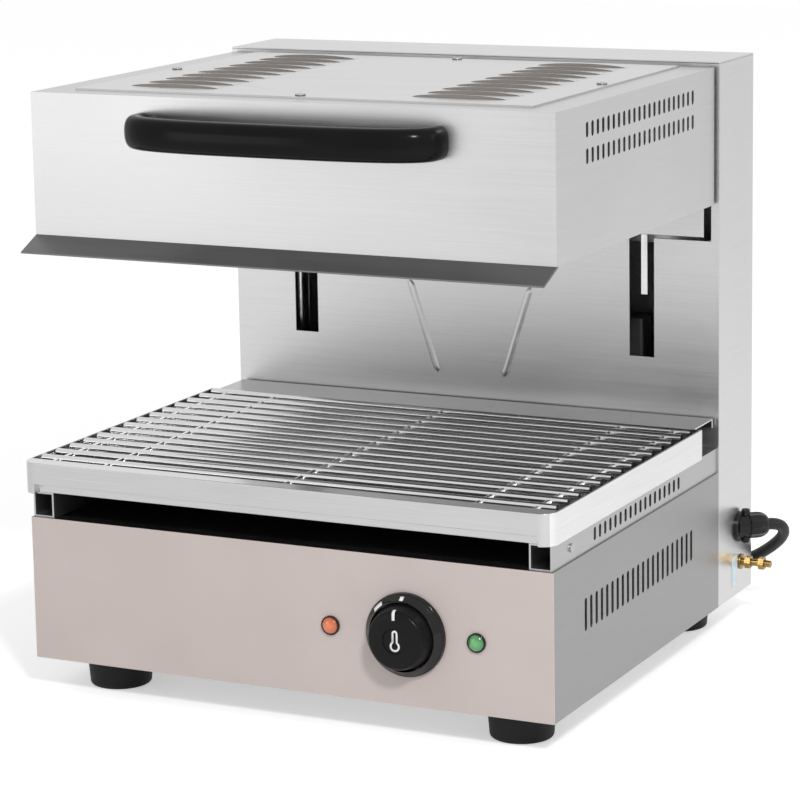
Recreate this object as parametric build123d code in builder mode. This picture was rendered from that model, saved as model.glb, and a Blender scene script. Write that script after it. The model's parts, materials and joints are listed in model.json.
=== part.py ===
from build123d import *
import math
import os

# Counter-top salamander grill: a heated head that slides on a rear column, above a tray on a base.
# Cabinet coordinates, in millimetres: x from the middle plane, to the right; y from the face of
# the front panel, to the back; z from the floor. The part's own origin is the middle of the
# footprint of everything but the mains lead, so helper planes take these two offsets away.
ORIGIN_X = 11.5
ORIGIN_Y = 201.0

# overall sizes
CABINET_W = 450.0
BASE_DEPTH = 345.0
COLUMN_DEPTH = 80.0
COLUMN_TOP = 484.0
FOOT_H = 28.5
BASE_TOP = 144.0
SHEET = 1.5
HALF_W = CABINET_W / 2
COLUMN_BACK = BASE_DEPTH + COLUMN_DEPTH
FIT = 0.3
RUN_FIT = 0.05
FLANGE = 14.0
FLOOR_GAP = 0.2

# side slots of the base and the head
SLOT_W = 4.6
BASE_SLOTS = 22
BASE_SLOT_H = 25.5
BASE_SLOT_Z = 97.0
BASE_SLOT_Y = 61.3
BASE_SLOT_PITCH = 10.5
HEAD_SLOTS = 22
HEAD_SLOT_H = 11.5
HEAD_SLOT_Z = (441.3, 461.0)
HEAD_SLOT_Y = 76.0
HEAD_SLOT_PITCH = 10.3

# tray rails on top of the base
RAIL_W = 18.5
RAIL_H = 20.5
RAIL_INSET = 1.5
RAIL_FRONT = 2.0
RAIL_SLOTS = 18
RAIL_SLOT_H = 10.3
RAIL_SLOT_Y = 83.0
RAIL_SLOT_PITCH = 10.25
RAIL_SCREW_Y = 37.0
RAIL_SCREW_R = 3.2

# grill tray and grid
TRAY_HALF_W = 228.0
TRAY_BOTTOM = BASE_TOP + RAIL_H + FIT
TRAY_H = 25.2
TRAY_TOP = TRAY_BOTTOM + TRAY_H
TRAY_BACK = 299.0
TRAY_NOSE_Y = -8.0
TRAY_NOSE_DEPTH = 15.0
TRAY_NOSE_H = 17.5
TRAY_CORNER_R = 12.0
RIM_BACK = 342.0
RIM_HALF_W = 221.0
RIM_DROP = 8.0
LEDGE_DEPTH = 9.0
LEDGE_TOP = TRAY_TOP - 9.3
GRID_ROD_R = 3.0
GRID_RODS = 14
GRID_FIRST_Y = 16.0
GRID_PITCH = 21.0
GRID_HALF_W = 222.0
GRID_BARS_X = (-207.0, -160.0, 0.0, 160.0, 207.0)
GRID_WELD = 1.0

# head
HEAD_FRONT = 18.0
HEAD_HALF_W = 222.0
HEAD_BACK = 341.0
HEAD_BOTTOM = 368.0
HEAD_TOP = 480.0
HEAD_RIM_X = 40.0
HEAD_RIM_Y = 30.0
COVER_HALF_W = 195.0
COVER_FRONT = 40.0
COVER_BACK = 333.0
COVER_T = 1.5
COVER_SCREW_INSET = 7.0
LOUVRE_LENGTH = 75.0
LOUVRE_WIDTH = 5.0
LOUVRE_ROWS = 10
LOUVRE_X = 122.0
LOUVRE_FIRST_Y = 73.0
LOUVRE_PITCH = 26.0
LOUVRE_HOOD_H = 2.6
LOUVRE_HOOD_DEPTH = 8.0
LIP_REACH = 23.0
LIP_DROP = 10.5
LIP_FLANGE_H = 17.0
BACK_PLATE_HALF_W = 213.0
BACK_PLATE_BOTTOM = 340.5

# heat source inside the head
REFLECTOR_HALF_W = 205.0
REFLECTOR_FRONT = 36.0
REFLECTOR_BACK = 324.0
REFLECTOR_TAPER = 15.0
REFLECTOR_H = 48.0
REFLECTOR_T = 1.2
INSULATION_T = 25.0
INSULATION_CORNER_R = 8.0
ELEMENT_R = 4.0
ELEMENT_Z = 392.0
ELEMENT_ROWS_Y = (90.0, 180.0, 270.0)
ELEMENT_HALF_GAP = 22.0
ELEMENT_TURN_X = -160.0
ELEMENT_END_X = 212.0
SUPPORT_X = (-90.0, 80.0)
SUPPORT_W = 8.0
SUPPORT_T = 1.5
SUPPORT_GAP = 0.2

# handle
HANDLE_HALF_W = 131.0
HANDLE_H = 27.0
HANDLE_T = 17.0
HANDLE_Z = 456.5
HANDLE_REACH = 42.0
HANDLE_CORNER_R = 20.0
HANDLE_SCREW_R = 2.5
HANDLE_SCREW_HEAD_T = 3.0

# column front
WINDOW_HALF_W = 218.0
WINDOW_BOTTOM = 337.0
WINDOW_TOP = 470.0
ARM_SLOT_X = 157.0
ARM_SLOT_W = 22.0
ARM_SLOT_BOTTOM = 237.0
BEAD_TOP = (56.5, 288.0)
BEAD_FOOT = (31.0, 212.0)
BEAD_W = 5.0
BEAD_T = 1.2
WIRE_HOLE_R = 11.0
WIRE_HOLE = (120.0, 90.0)

# lift mechanism in the column
STROKE = 130.0
ARM_T = 6.0
ARM_BACK = 366.0
ARM_BOTTOM = 288.0
ARM_TOP = 440.0
ARM_GAP = 4.0
ARM_LUG_BOTTOM = ARM_SLOT_BOTTOM + STROKE + ARM_GAP
GUIDE_X = 185.0
GUIDE_Y = 386.0
GUIDE_R = 8.0
CROSS_BAR_H = 15.0
CROSS_BAR_D = 24.0
CROSS_BAR_Z = (34.0, 462.0)
CARRIAGE_T = 6.0
CARRIAGE_Z = (330.0, 412.0)
HOUSING_W = 30.0
HOUSING_H = 28.0
BUSHING_R = 12.0
PULLEY_X = 110.0
PULLEY_Y = 388.0
PULLEY_Z = 440.0
PULLEY_R = 15.0
GROOVE_R = 11.0
PULLEY_W = 12.0
CABLE_R = 1.5
CABLE_GAP = 0.2
CABLE_WRAP_R = GROOVE_R + CABLE_R + CABLE_GAP
AXLE_R = 4.0
CHEEK_T = 3.0
CHEEK_W = 16.0
CHEEK_GAP = 1.0
AXLE_END = 1.0
ANCHOR_H = 12.0
WEIGHT_HALF_W = 140.0
WEIGHT_T = 21.0
WEIGHT_BOTTOM = 60.0
WEIGHT_H = 200.0
WEIGHT_EDGE = 2.0

# controls on the front panel
KNOB_X = 105.0
KNOB_Z = 84.5
KNOB_R = 26.5
KNOB_FRONT_R = 24.0
KNOB_LENGTH = 22.0
KNOB_EDGE_R = 4.0
KNOB_FRONT_WALL = 6.0
DIAL_R = 32.5
DIAL_FRONT_R = 30.5
DIAL_GAP = 0.6
DIAL_T = 7.0
SHAFT_R = 3.0
SHAFT_HOLE_R = 5.0
REGULATOR_SIZE = 44.0
REGULATOR_DEPTH = 34.0
REGULATOR_CORNER_R = 4.0
LAMP_Z = 84.5
ORANGE_X = 41.0
GREEN_X = 163.0
LENS_R = 7.5
LENS_FRONT_R = 6.5
LENS_H = 4.5
LENS_EDGE_R = 2.0
LAMP_BODY_R = 6.0
LAMP_BODY_DEPTH = 26.0
LAMP_NUT_R = 8.0
LAMP_NUT_T = 3.0

# feet
FOOT_X = 177.0
FOOT_FRONT_Y = 49.0
FOOT_BACK_Y = 376.0
FOOT_TOP_R = 27.0
FOOT_BOTTOM_R = 24.0
FOOT_SCREW_R = 5.0

# side fittings: cable gland, bonding stud and a blank plate
GLAND_Y = 393.0
GLAND_Z = 87.0
GLAND_R = 11.5
GLAND_NECK_R = 8.5
GLAND_NUT_T = 5.0
GLAND_FLANGE_R = 13.0
GLAND_FLANGE_T = 4.0
GLAND_LENGTH = 26.0
GLAND_ANGLE = 40.0
GLAND_FLUTES = 12
FLUTE_R = 1.6
FLUTE_OUT = 0.4
STUD_Y = 399.0
STUD_Z = 55.0
STUD_R = 3.0
STUD_LENGTH = 27.0
NUT_R = 5.6
NUT_T = 5.0
WASHER_R = 6.6
WASHER_T = 1.5
NUT_OUT = (7.0, 19.0)
PLATE_Y = (378.0, 389.0)
PLATE_Z = (37.0, 63.0)
PLATE_T = 0.6

# mains lead: its route from the gland to the floor, then a coil and a plug behind the column
CORD_R = 5.0
CORD_FLOOR = CORD_R + FLOOR_GAP
CORD_STUB = 12.0
CORD_START = [
    (
        HALF_W + reach * math.cos(math.radians(GLAND_ANGLE)),
        GLAND_Y + reach * math.sin(math.radians(GLAND_ANGLE)),
        GLAND_Z,
    )
    for reach in (GLAND_LENGTH, GLAND_LENGTH + CORD_STUB)
]
CORD_ROUTE = [
    *CORD_START,
    (254.0, 430.0, 74.0),
    (237.0, 437.0, 58.0),
    (216.0, 443.0, 45.0),
    (190.0, 448.0, 33.0),
    (160.0, 454.0, 17.0),
    (128.0, 460.0, 6.5),
    (100.0, 462.0, CORD_FLOOR),
    (80.0, 462.0, CORD_FLOOR),
]
COIL_TURNS = 4
COIL_OUTER_R = 66.0
COIL_PITCH = 12.4
COIL_LAYER = 11.0
COIL_CLIMB = 0.5
COIL_LEAD = 10.0
COIL_TAIL = 45.0
PLUG_R = 18.5
PLUG_EDGE_R = 3.0
PLUG_BOOT_BACK_R = 6.0
PLUG_BOOT_R = 8.0
PLUG_BOOT_LENGTH = 16.0
PLUG_LENGTH = 34.0
PLUG_PIN_R = 2.4
PLUG_PIN_LENGTH = 19.0
PLUG_PIN_GAP = 19.0


def place(x, y, z):
    """A point of the part's own frame from cabinet coordinates."""
    return (x - ORIGIN_X, y - ORIGIN_Y, z)


def level(z, x=0.0, y=0.0):
    """Flat plane at height z; its own x runs right and its own y runs back."""
    return Plane(origin=place(x, y, z), x_dir=(1, 0, 0), z_dir=(0, 0, 1))


def from_front(y, x=0.0, z=0.0):
    """Upright plane seen from the front; its own x runs right, its own y up, its normal forwards."""
    return Plane(origin=place(x, y, z), x_dir=(1, 0, 0), z_dir=(0, -1, 0))


def from_right(x, y=0.0, z=0.0):
    """Upright plane seen from the right; its own x runs back, its own y up, its normal right."""
    return Plane(origin=place(x, y, z), x_dir=(0, 1, 0), z_dir=(1, 0, 0))


def block(x, y, z, mode=Mode.ADD):
    """Box from (low, high) pairs in cabinet coordinates."""
    with Locations(place(sum(x) / 2, sum(y) / 2, sum(z) / 2)):
        Box(x[1] - x[0], y[1] - y[0], z[1] - z[0], mode=mode)


def rod(plane, length, radius, mode=Mode.ADD):
    """Round bar that starts on a plane and runs along its normal."""
    with Locations(plane):
        Cylinder(radius, length, align=(Align.CENTER, Align.CENTER, Align.MIN), mode=mode)


def side_slots(x, first_y, pitch, count, middle_z, height):
    """Upright slots through the walls on both sides, x from the middle plane."""
    with BuildSketch(from_right(-x - SHEET)) as slots:
        with Locations([(first_y + i * pitch, middle_z) for i in range(count)]):
            SlotOverall(height, SLOT_W, rotation=90)
    extrude(slots.sketch, amount=2 * x + 2 * SHEET, mode=Mode.SUBTRACT)


os.makedirs("parts", exist_ok=True)

# base tub: bottom and two vented walls, with flanges that the rails stand on
with BuildPart() as base_tub:
    block((-HALF_W, HALF_W), (SHEET, BASE_DEPTH), (FOOT_H, BASE_TOP))
    block(
        (-HALF_W + SHEET, HALF_W - SHEET),
        (SHEET, BASE_DEPTH),
        (FOOT_H + SHEET, BASE_TOP - SHEET),
        Mode.SUBTRACT,
    )
    block(
        (-HALF_W + FLANGE, HALF_W - FLANGE),
        (SHEET, BASE_DEPTH),
        (BASE_TOP - SHEET, BASE_TOP),
        Mode.SUBTRACT,
    )
    side_slots(HALF_W, BASE_SLOT_Y, BASE_SLOT_PITCH, BASE_SLOTS, BASE_SLOT_Z, BASE_SLOT_H)
    for foot_x in (-FOOT_X, FOOT_X):
        rod(level(FOOT_H, foot_x, FOOT_FRONT_Y), SHEET, FOOT_SCREW_R, Mode.SUBTRACT)
base_tub.part.label = "base_tub"
export_step(base_tub.part, "parts/base_tub.step")

# front panel with a top return, and holes for the shaft and the lamps
PANEL_RETURN = 12.0
with BuildPart() as front_panel:
    block((-HALF_W, HALF_W), (0, SHEET), (FOOT_H, BASE_TOP))
    block((-HALF_W + FLANGE, HALF_W - FLANGE), (SHEET, PANEL_RETURN), (BASE_TOP - SHEET, BASE_TOP))
    rod(from_front(SHEET, KNOB_X, KNOB_Z), SHEET, SHAFT_HOLE_R, Mode.SUBTRACT)
    for lamp_x in (ORANGE_X, GREEN_X):
        rod(from_front(SHEET, lamp_x, LAMP_Z), SHEET, LAMP_BODY_R + RUN_FIT, Mode.SUBTRACT)
front_panel.part.label = "front_panel"
export_step(front_panel.part, "parts/front_panel.step")

# deck that closes the base under the tray
with BuildPart() as base_deck:
    block(
        (-HALF_W + SHEET, HALF_W - SHEET),
        (SHEET, BASE_DEPTH),
        (BASE_TOP - 2 * SHEET, BASE_TOP - SHEET),
    )
base_deck.part.label = "base_deck"
export_step(base_deck.part, "parts/base_deck.step")

# tray rails: square tubes, slotted on the outer face
RAIL_OUT = HALF_W - RAIL_INSET
for side, rail_name in ((-1, "rail_left"), (1, "rail_right")):
    outer = sorted((side * RAIL_OUT, side * (RAIL_OUT - RAIL_W)))
    inner = (outer[0] + SHEET, outer[1] - SHEET)
    with BuildPart() as rail:
        block(outer, (RAIL_FRONT, BASE_DEPTH), (BASE_TOP, BASE_TOP + RAIL_H))
        block(
            inner,
            (RAIL_FRONT, BASE_DEPTH),
            (BASE_TOP + SHEET, BASE_TOP + RAIL_H - SHEET),
            Mode.SUBTRACT,
        )
        with BuildSketch(from_right(side * RAIL_OUT - SHEET)) as rail_slots:
            with Locations(
                [
                    (RAIL_SLOT_Y + i * RAIL_SLOT_PITCH, BASE_TOP + RAIL_H / 2)
                    for i in range(RAIL_SLOTS)
                ]
            ):
                SlotOverall(RAIL_SLOT_H, SLOT_W, rotation=90)
        extrude(rail_slots.sketch, amount=2 * SHEET, mode=Mode.SUBTRACT)
        rod(
            from_right(side * RAIL_OUT - SHEET, RAIL_SCREW_Y, BASE_TOP + RAIL_H / 2),
            2 * SHEET,
            RAIL_SCREW_R / 2,
            Mode.SUBTRACT,
        )
    rail.part.label = rail_name
    export_step(rail.part, f"parts/{rail_name}.step")

# one round-headed screw through each rail
SCREW_HEAD_T = 1.4
with BuildPart() as rail_screws:
    for side in (-1, 1):
        out = Plane(
            origin=place(side * RAIL_OUT, RAIL_SCREW_Y, BASE_TOP + RAIL_H / 2),
            x_dir=(0, 1, 0),
            z_dir=(side, 0, 0),
        )
        rod(out, SCREW_HEAD_T, RAIL_SCREW_R)
        rod(out.offset(-3 * SHEET), 3 * SHEET, RAIL_SCREW_R / 2 - RUN_FIT)
rail_screws.part.label = "rail_screws"
export_step(rail_screws.part, "parts/rail_screws.step")

# grill tray: a shallow pan with a round-cornered front nose, inner ledges and a wide rear rim
NOSE_BACK = TRAY_NOSE_Y + TRAY_NOSE_DEPTH
with BuildPart() as grill_tray:
    with BuildSketch(level(TRAY_BOTTOM)) as pan_outline:
        with Locations((0, (TRAY_NOSE_Y + TRAY_BACK) / 2)):
            Rectangle(2 * TRAY_HALF_W, TRAY_BACK - TRAY_NOSE_Y)
        fillet(pan_outline.vertices().group_by(Axis.Y)[0], TRAY_CORNER_R)
    extrude(amount=TRAY_H)
    # the front band below the nose stands back from it
    block(
        (-TRAY_HALF_W + TRAY_CORNER_R, TRAY_HALF_W - TRAY_CORNER_R),
        (TRAY_NOSE_Y, 0),
        (TRAY_BOTTOM, TRAY_TOP - TRAY_NOSE_H),
        Mode.SUBTRACT,
    )
    block(
        (-TRAY_HALF_W + SHEET, TRAY_HALF_W - SHEET),
        (NOSE_BACK, TRAY_BACK - SHEET),
        (TRAY_BOTTOM + SHEET, TRAY_TOP),
        Mode.SUBTRACT,
    )
    # hollow of the folded nose
    block(
        (-TRAY_HALF_W + TRAY_CORNER_R, TRAY_HALF_W - TRAY_CORNER_R),
        (TRAY_NOSE_Y + SHEET, NOSE_BACK),
        (TRAY_TOP - TRAY_NOSE_H + SHEET, TRAY_TOP - SHEET),
        Mode.SUBTRACT,
    )
    for ledge in ((NOSE_BACK, NOSE_BACK + LEDGE_DEPTH), (TRAY_BACK - LEDGE_DEPTH, TRAY_BACK - SHEET)):
        block((-TRAY_HALF_W + SHEET, TRAY_HALF_W - SHEET), ledge, (LEDGE_TOP - SHEET, LEDGE_TOP))
    block((-RIM_HALF_W, RIM_HALF_W), (TRAY_BACK - SHEET, RIM_BACK), (TRAY_TOP - SHEET, TRAY_TOP))
    block((-RIM_HALF_W, RIM_HALF_W), (RIM_BACK - SHEET, RIM_BACK), (TRAY_TOP - RIM_DROP, TRAY_TOP))
grill_tray.part.label = "grill_tray"
export_step(grill_tray.part, "parts/grill_tray.step")

# wire grid: round rods across, welded on bars that rest on the tray's ledges
BAR_Z = LEDGE_TOP + FIT + GRID_ROD_R
ROD_Z = BAR_Z + 2 * GRID_ROD_R - GRID_WELD
BAR_FRONT = NOSE_BACK + FIT
BAR_BACK = TRAY_BACK - SHEET - FIT
with BuildPart() as grill_grid:
    for i in range(GRID_RODS):
        rod(
            from_right(-GRID_HALF_W, GRID_FIRST_Y + i * GRID_PITCH, ROD_Z),
            2 * GRID_HALF_W,
            GRID_ROD_R,
        )
    for bar_x in GRID_BARS_X:
        rod(from_front(BAR_BACK, bar_x, BAR_Z), BAR_BACK - BAR_FRONT, GRID_ROD_R)
grill_grid.part.label = "grill_grid"
export_step(grill_grid.part, "parts/grill_grid.step")

# feet: tapered rubber with a screw up into the bottom plate
with BuildPart() as feet:
    for foot_y in (FOOT_FRONT_Y, FOOT_BACK_Y):
        for foot_x in (-FOOT_X, FOOT_X):
            with BuildSketch(level(0, foot_x, foot_y)):
                Circle(FOOT_BOTTOM_R)
            with BuildSketch(level(FOOT_H, foot_x, foot_y)):
                Circle(FOOT_TOP_R)
            loft()
            rod(level(SHEET, foot_x, foot_y), FOOT_H, FOOT_SCREW_R + RUN_FIT, Mode.SUBTRACT)
feet.part.label = "feet"
export_step(feet.part, "parts/feet.step")

FOOT_SCREW_TOP = 31.0
with BuildPart() as foot_screws:
    for foot_y in (FOOT_FRONT_Y, FOOT_BACK_Y):
        for foot_x in (-FOOT_X, FOOT_X):
            rod(level(SHEET, foot_x, foot_y), FOOT_SCREW_TOP, FOOT_SCREW_R - RUN_FIT)
            rod(level(FOOT_H + SHEET, foot_x, foot_y), SHEET, 2 * FOOT_SCREW_R)
foot_screws.part.label = "foot_screws"
export_step(foot_screws.part, "parts/foot_screws.step")

# energy regulator behind the panel, its shaft, and the knob and dial in front
with BuildPart() as regulator_body:
    block(
        (KNOB_X - REGULATOR_SIZE / 2, KNOB_X + REGULATOR_SIZE / 2),
        (SHEET, SHEET + REGULATOR_DEPTH),
        (KNOB_Z - REGULATOR_SIZE / 2, KNOB_Z + REGULATOR_SIZE / 2),
    )
    fillet(regulator_body.edges().filter_by(Axis.Y), REGULATOR_CORNER_R)
    SHAFT_BACK = SHEET + REGULATOR_DEPTH / 2
    rod(from_front(SHAFT_BACK, KNOB_X, KNOB_Z), REGULATOR_DEPTH, SHAFT_R + RUN_FIT, Mode.SUBTRACT)
regulator_body.part.label = "regulator_body"
export_step(regulator_body.part, "parts/regulator_body.step")

SHAFT_FRONT = KNOB_LENGTH - KNOB_FRONT_WALL
with BuildPart() as control_shaft:
    rod(
        from_front(SHAFT_BACK - FIT, KNOB_X, KNOB_Z),
        SHAFT_BACK - FIT + SHAFT_FRONT,
        SHAFT_R,
    )
control_shaft.part.label = "control_shaft"
export_step(control_shaft.part, "parts/control_shaft.step")

with BuildPart() as knob:
    with BuildSketch(from_front(-FIT, KNOB_X, KNOB_Z)):
        Circle(KNOB_R)
    with BuildSketch(from_front(-KNOB_LENGTH, KNOB_X, KNOB_Z)):
        Circle(KNOB_FRONT_R)
    loft()
    fillet(knob.faces().sort_by(Axis.Y)[0].edges(), KNOB_EDGE_R)
    rod(
        from_front(-FIT, KNOB_X, KNOB_Z),
        SHAFT_FRONT,
        SHAFT_R + RUN_FIT,
        Mode.SUBTRACT,
    )
knob.part.label = "knob"
export_step(knob.part, "parts/knob.step")

with BuildPart() as dial_ring:
    with BuildSketch(from_front(0, KNOB_X, KNOB_Z)):
        Circle(DIAL_R)
    with BuildSketch(from_front(-DIAL_T, KNOB_X, KNOB_Z)):
        Circle(DIAL_FRONT_R)
    loft()
    rod(from_front(0, KNOB_X, KNOB_Z), DIAL_T, KNOB_R + DIAL_GAP, Mode.SUBTRACT)
dial_ring.part.label = "dial_ring"
export_step(dial_ring.part, "parts/dial_ring.step")

# pilot lamps: domed lens in front, round body behind
for lamp_name, lamp_x in (("orange_lens", ORANGE_X), ("green_lens", GREEN_X)):
    with BuildPart() as lens:
        with BuildSketch(from_front(0, lamp_x, LAMP_Z)):
            Circle(LENS_R)
        with BuildSketch(from_front(-LENS_H, lamp_x, LAMP_Z)):
            Circle(LENS_FRONT_R)
        loft()
        fillet(lens.faces().sort_by(Axis.Y)[0].edges(), LENS_EDGE_R)
    lens.part.label = lamp_name
    export_step(lens.part, f"parts/{lamp_name}.step")

with BuildPart() as lamp_bodies:
    for lamp_x in (ORANGE_X, GREEN_X):
        rod(from_front(LAMP_BODY_DEPTH, lamp_x, LAMP_Z), LAMP_BODY_DEPTH, LAMP_BODY_R)
        rod(from_front(SHEET + LAMP_NUT_T, lamp_x, LAMP_Z), LAMP_NUT_T, LAMP_NUT_R)
lamp_bodies.part.label = "lamp_bodies"
export_step(lamp_bodies.part, "parts/lamp_bodies.step")

# terminal block on the floor of the tub
TERMINAL_X = (140.0, 200.0)
TERMINAL_Y = (290.0, 322.0)
TERMINAL_H = 22.0
TERMINAL_WAYS = 4
TERMINAL_PITCH = 14.0
TERMINAL_BORE_R = 3.0
with BuildPart() as terminal_block:
    block(TERMINAL_X, TERMINAL_Y, (FOOT_H + SHEET, FOOT_H + SHEET + TERMINAL_H))
    for i in range(TERMINAL_WAYS):
        way_x = sum(TERMINAL_X) / 2 + (i - (TERMINAL_WAYS - 1) / 2) * TERMINAL_PITCH
        rod(
            level(FOOT_H + SHEET + TERMINAL_H / 2, way_x, sum(TERMINAL_Y) / 2),
            TERMINAL_H,
            TERMINAL_BORE_R,
            Mode.SUBTRACT,
        )
terminal_block.part.label = "terminal_block"
export_step(terminal_block.part, "parts/terminal_block.step")

# column: two walls with rear flanges and a bottom, with holes for the gland and the bonding stud
BACK_FLANGE = 12.0
with BuildPart() as column_shell:
    block(
        (-HALF_W, HALF_W),
        (BASE_DEPTH + SHEET, COLUMN_BACK),
        (FOOT_H, COLUMN_TOP - SHEET),
    )
    block(
        (-HALF_W + SHEET, HALF_W - SHEET),
        (BASE_DEPTH + SHEET, COLUMN_BACK - 2 * SHEET),
        (FOOT_H + SHEET, COLUMN_TOP - SHEET),
        Mode.SUBTRACT,
    )
    block(
        (-HALF_W + SHEET + BACK_FLANGE, HALF_W - SHEET - BACK_FLANGE),
        (COLUMN_BACK - 2 * SHEET, COLUMN_BACK),
        (FOOT_H + SHEET, COLUMN_TOP - SHEET),
        Mode.SUBTRACT,
    )
    block(
        (-HALF_W + SHEET, HALF_W - SHEET),
        (COLUMN_BACK - SHEET, COLUMN_BACK),
        (FOOT_H + SHEET, COLUMN_TOP - SHEET),
        Mode.SUBTRACT,
    )
    for foot_x in (-FOOT_X, FOOT_X):
        rod(level(FOOT_H, foot_x, FOOT_BACK_Y), SHEET, FOOT_SCREW_R, Mode.SUBTRACT)
    rod(from_right(HALF_W - SHEET, STUD_Y, STUD_Z), SHEET, STUD_R + RUN_FIT, Mode.SUBTRACT)
    rod(from_right(HALF_W - SHEET, GLAND_Y, GLAND_Z), SHEET, GLAND_NECK_R + RUN_FIT, Mode.SUBTRACT)
column_shell.part.label = "column_shell"
export_step(column_shell.part, "parts/column_shell.step")

# column front: a window that the head's back plate fills, two arm slots, and two pressed beads
with BuildPart() as column_front:
    block((-HALF_W, HALF_W), (BASE_DEPTH, BASE_DEPTH + SHEET), (FOOT_H, COLUMN_TOP - SHEET))
    block(
        (-WINDOW_HALF_W, WINDOW_HALF_W),
        (BASE_DEPTH, BASE_DEPTH + SHEET),
        (WINDOW_BOTTOM, WINDOW_TOP),
        Mode.SUBTRACT,
    )
    for side in (-1, 1):
        slot_x = side * ARM_SLOT_X
        block(
            (slot_x - ARM_SLOT_W / 2, slot_x + ARM_SLOT_W / 2),
            (BASE_DEPTH, BASE_DEPTH + SHEET),
            (ARM_SLOT_BOTTOM, WINDOW_BOTTOM),
            Mode.SUBTRACT,
        )
        lean = side * math.degrees(math.atan2(BEAD_TOP[0] - BEAD_FOOT[0], BEAD_TOP[1] - BEAD_FOOT[1]))
        middle = (side * (BEAD_TOP[0] + BEAD_FOOT[0]) / 2, (BEAD_TOP[1] + BEAD_FOOT[1]) / 2)
        with BuildSketch(from_front(BASE_DEPTH)) as bead:
            with Locations(middle):
                SlotCenterToCenter(math.dist(BEAD_TOP, BEAD_FOOT), BEAD_W, rotation=90 - lean)
        extrude(bead.sketch, amount=BEAD_T)
    rod(from_front(BASE_DEPTH + SHEET, *WIRE_HOLE), SHEET, WIRE_HOLE_R, Mode.SUBTRACT)
column_front.part.label = "column_front"
export_step(column_front.part, "parts/column_front.step")

with BuildPart() as column_cap:
    block((-HALF_W, HALF_W), (BASE_DEPTH, COLUMN_BACK), (COLUMN_TOP - SHEET, COLUMN_TOP))
column_cap.part.label = "column_cap"
export_step(column_cap.part, "parts/column_cap.step")

# back panel, cooling slots at its top, screwed to the column's rear flanges
BACK_SLOT_LENGTH = 60.0
BACK_SLOT_X = 90.0
BACK_SLOT_Z = 330.0
BACK_SLOT_PITCH = 14.0
BACK_SLOT_ROWS = 8
BACK_SCREW_R = 3.2
BACK_SCREW_X = HALF_W - SHEET - BACK_FLANGE / 2
BACK_SCREW_Z = (60.0, 255.0, 450.0)
BACK_SCREWS = [(side * BACK_SCREW_X, z) for side in (-1, 1) for z in BACK_SCREW_Z]
with BuildPart() as back_panel:
    block(
        (-HALF_W + SHEET, HALF_W - SHEET),
        (COLUMN_BACK - SHEET, COLUMN_BACK),
        (FOOT_H + SHEET, COLUMN_TOP - SHEET),
    )
    with BuildSketch(from_front(COLUMN_BACK)) as back_slots:
        for i in range(BACK_SLOT_ROWS):
            with Locations((-BACK_SLOT_X, BACK_SLOT_Z + i * BACK_SLOT_PITCH)):
                SlotOverall(BACK_SLOT_LENGTH, SLOT_W)
            with Locations((BACK_SLOT_X, BACK_SLOT_Z + i * BACK_SLOT_PITCH)):
                SlotOverall(BACK_SLOT_LENGTH, SLOT_W)
    extrude(back_slots.sketch, amount=SHEET, mode=Mode.SUBTRACT)
    for screw in BACK_SCREWS:
        rod(from_front(COLUMN_BACK, *screw), SHEET, BACK_SCREW_R / 2, Mode.SUBTRACT)
back_panel.part.label = "back_panel"
export_step(back_panel.part, "parts/back_panel.step")

with BuildPart() as back_screws:
    for screw in BACK_SCREWS:
        rod(from_front(COLUMN_BACK + SCREW_HEAD_T, *screw), SCREW_HEAD_T, BACK_SCREW_R)
        rod(from_front(COLUMN_BACK, *screw), SHEET, BACK_SCREW_R / 2 - RUN_FIT)
back_screws.part.label = "back_screws"
export_step(back_screws.part, "parts/back_screws.step")

# fixed guides: two cross bars between the column walls, and two round guide rods through them
with BuildPart() as cross_bars:
    for bar_z in CROSS_BAR_Z:
        block(
            (-HALF_W + SHEET, HALF_W - SHEET),
            (GUIDE_Y - CROSS_BAR_D / 2, GUIDE_Y + CROSS_BAR_D / 2),
            (bar_z, bar_z + CROSS_BAR_H),
        )
        for side in (-1, 1):
            rod(level(bar_z, side * GUIDE_X, GUIDE_Y), CROSS_BAR_H, GUIDE_R + RUN_FIT, Mode.SUBTRACT)
cross_bars.part.label = "cross_bars"
export_step(cross_bars.part, "parts/cross_bars.step")

with BuildPart() as guide_rods:
    for side in (-1, 1):
        rod(
            level(CROSS_BAR_Z[0], side * GUIDE_X, GUIDE_Y),
            CROSS_BAR_Z[1] + CROSS_BAR_H - CROSS_BAR_Z[0],
            GUIDE_R,
        )
guide_rods.part.label = "guide_rods"
export_step(guide_rods.part, "parts/guide_rods.step")

# carriage: a plate with four bushing housings and two cable anchors
HOUSING_BASES = (CARRIAGE_Z[0], CARRIAGE_Z[1] - HOUSING_H)
CABLE_FRONT_Y = PULLEY_Y - CABLE_WRAP_R
CABLE_BACK_Y = PULLEY_Y + CABLE_WRAP_R
with BuildPart() as carriage:
    block(
        (-GUIDE_X - HOUSING_W / 2, GUIDE_X + HOUSING_W / 2),
        (ARM_BACK, ARM_BACK + CARRIAGE_T),
        CARRIAGE_Z,
    )
    for side in (-1, 1):
        for base_z in HOUSING_BASES:
            block(
                (side * GUIDE_X - HOUSING_W / 2, side * GUIDE_X + HOUSING_W / 2),
                (ARM_BACK + CARRIAGE_T, GUIDE_Y + HOUSING_W / 2),
                (base_z, base_z + HOUSING_H),
            )
            rod(
                level(base_z, side * GUIDE_X, GUIDE_Y),
                HOUSING_H,
                BUSHING_R + RUN_FIT,
                Mode.SUBTRACT,
            )
        block(
            (side * PULLEY_X - PULLEY_W / 2, side * PULLEY_X + PULLEY_W / 2),
            (ARM_BACK + CARRIAGE_T, CABLE_FRONT_Y + 2 * CABLE_R),
            (CARRIAGE_Z[1] - ANCHOR_H, CARRIAGE_Z[1]),
        )
carriage.part.label = "carriage"
export_step(carriage.part, "parts/carriage.step")

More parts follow.
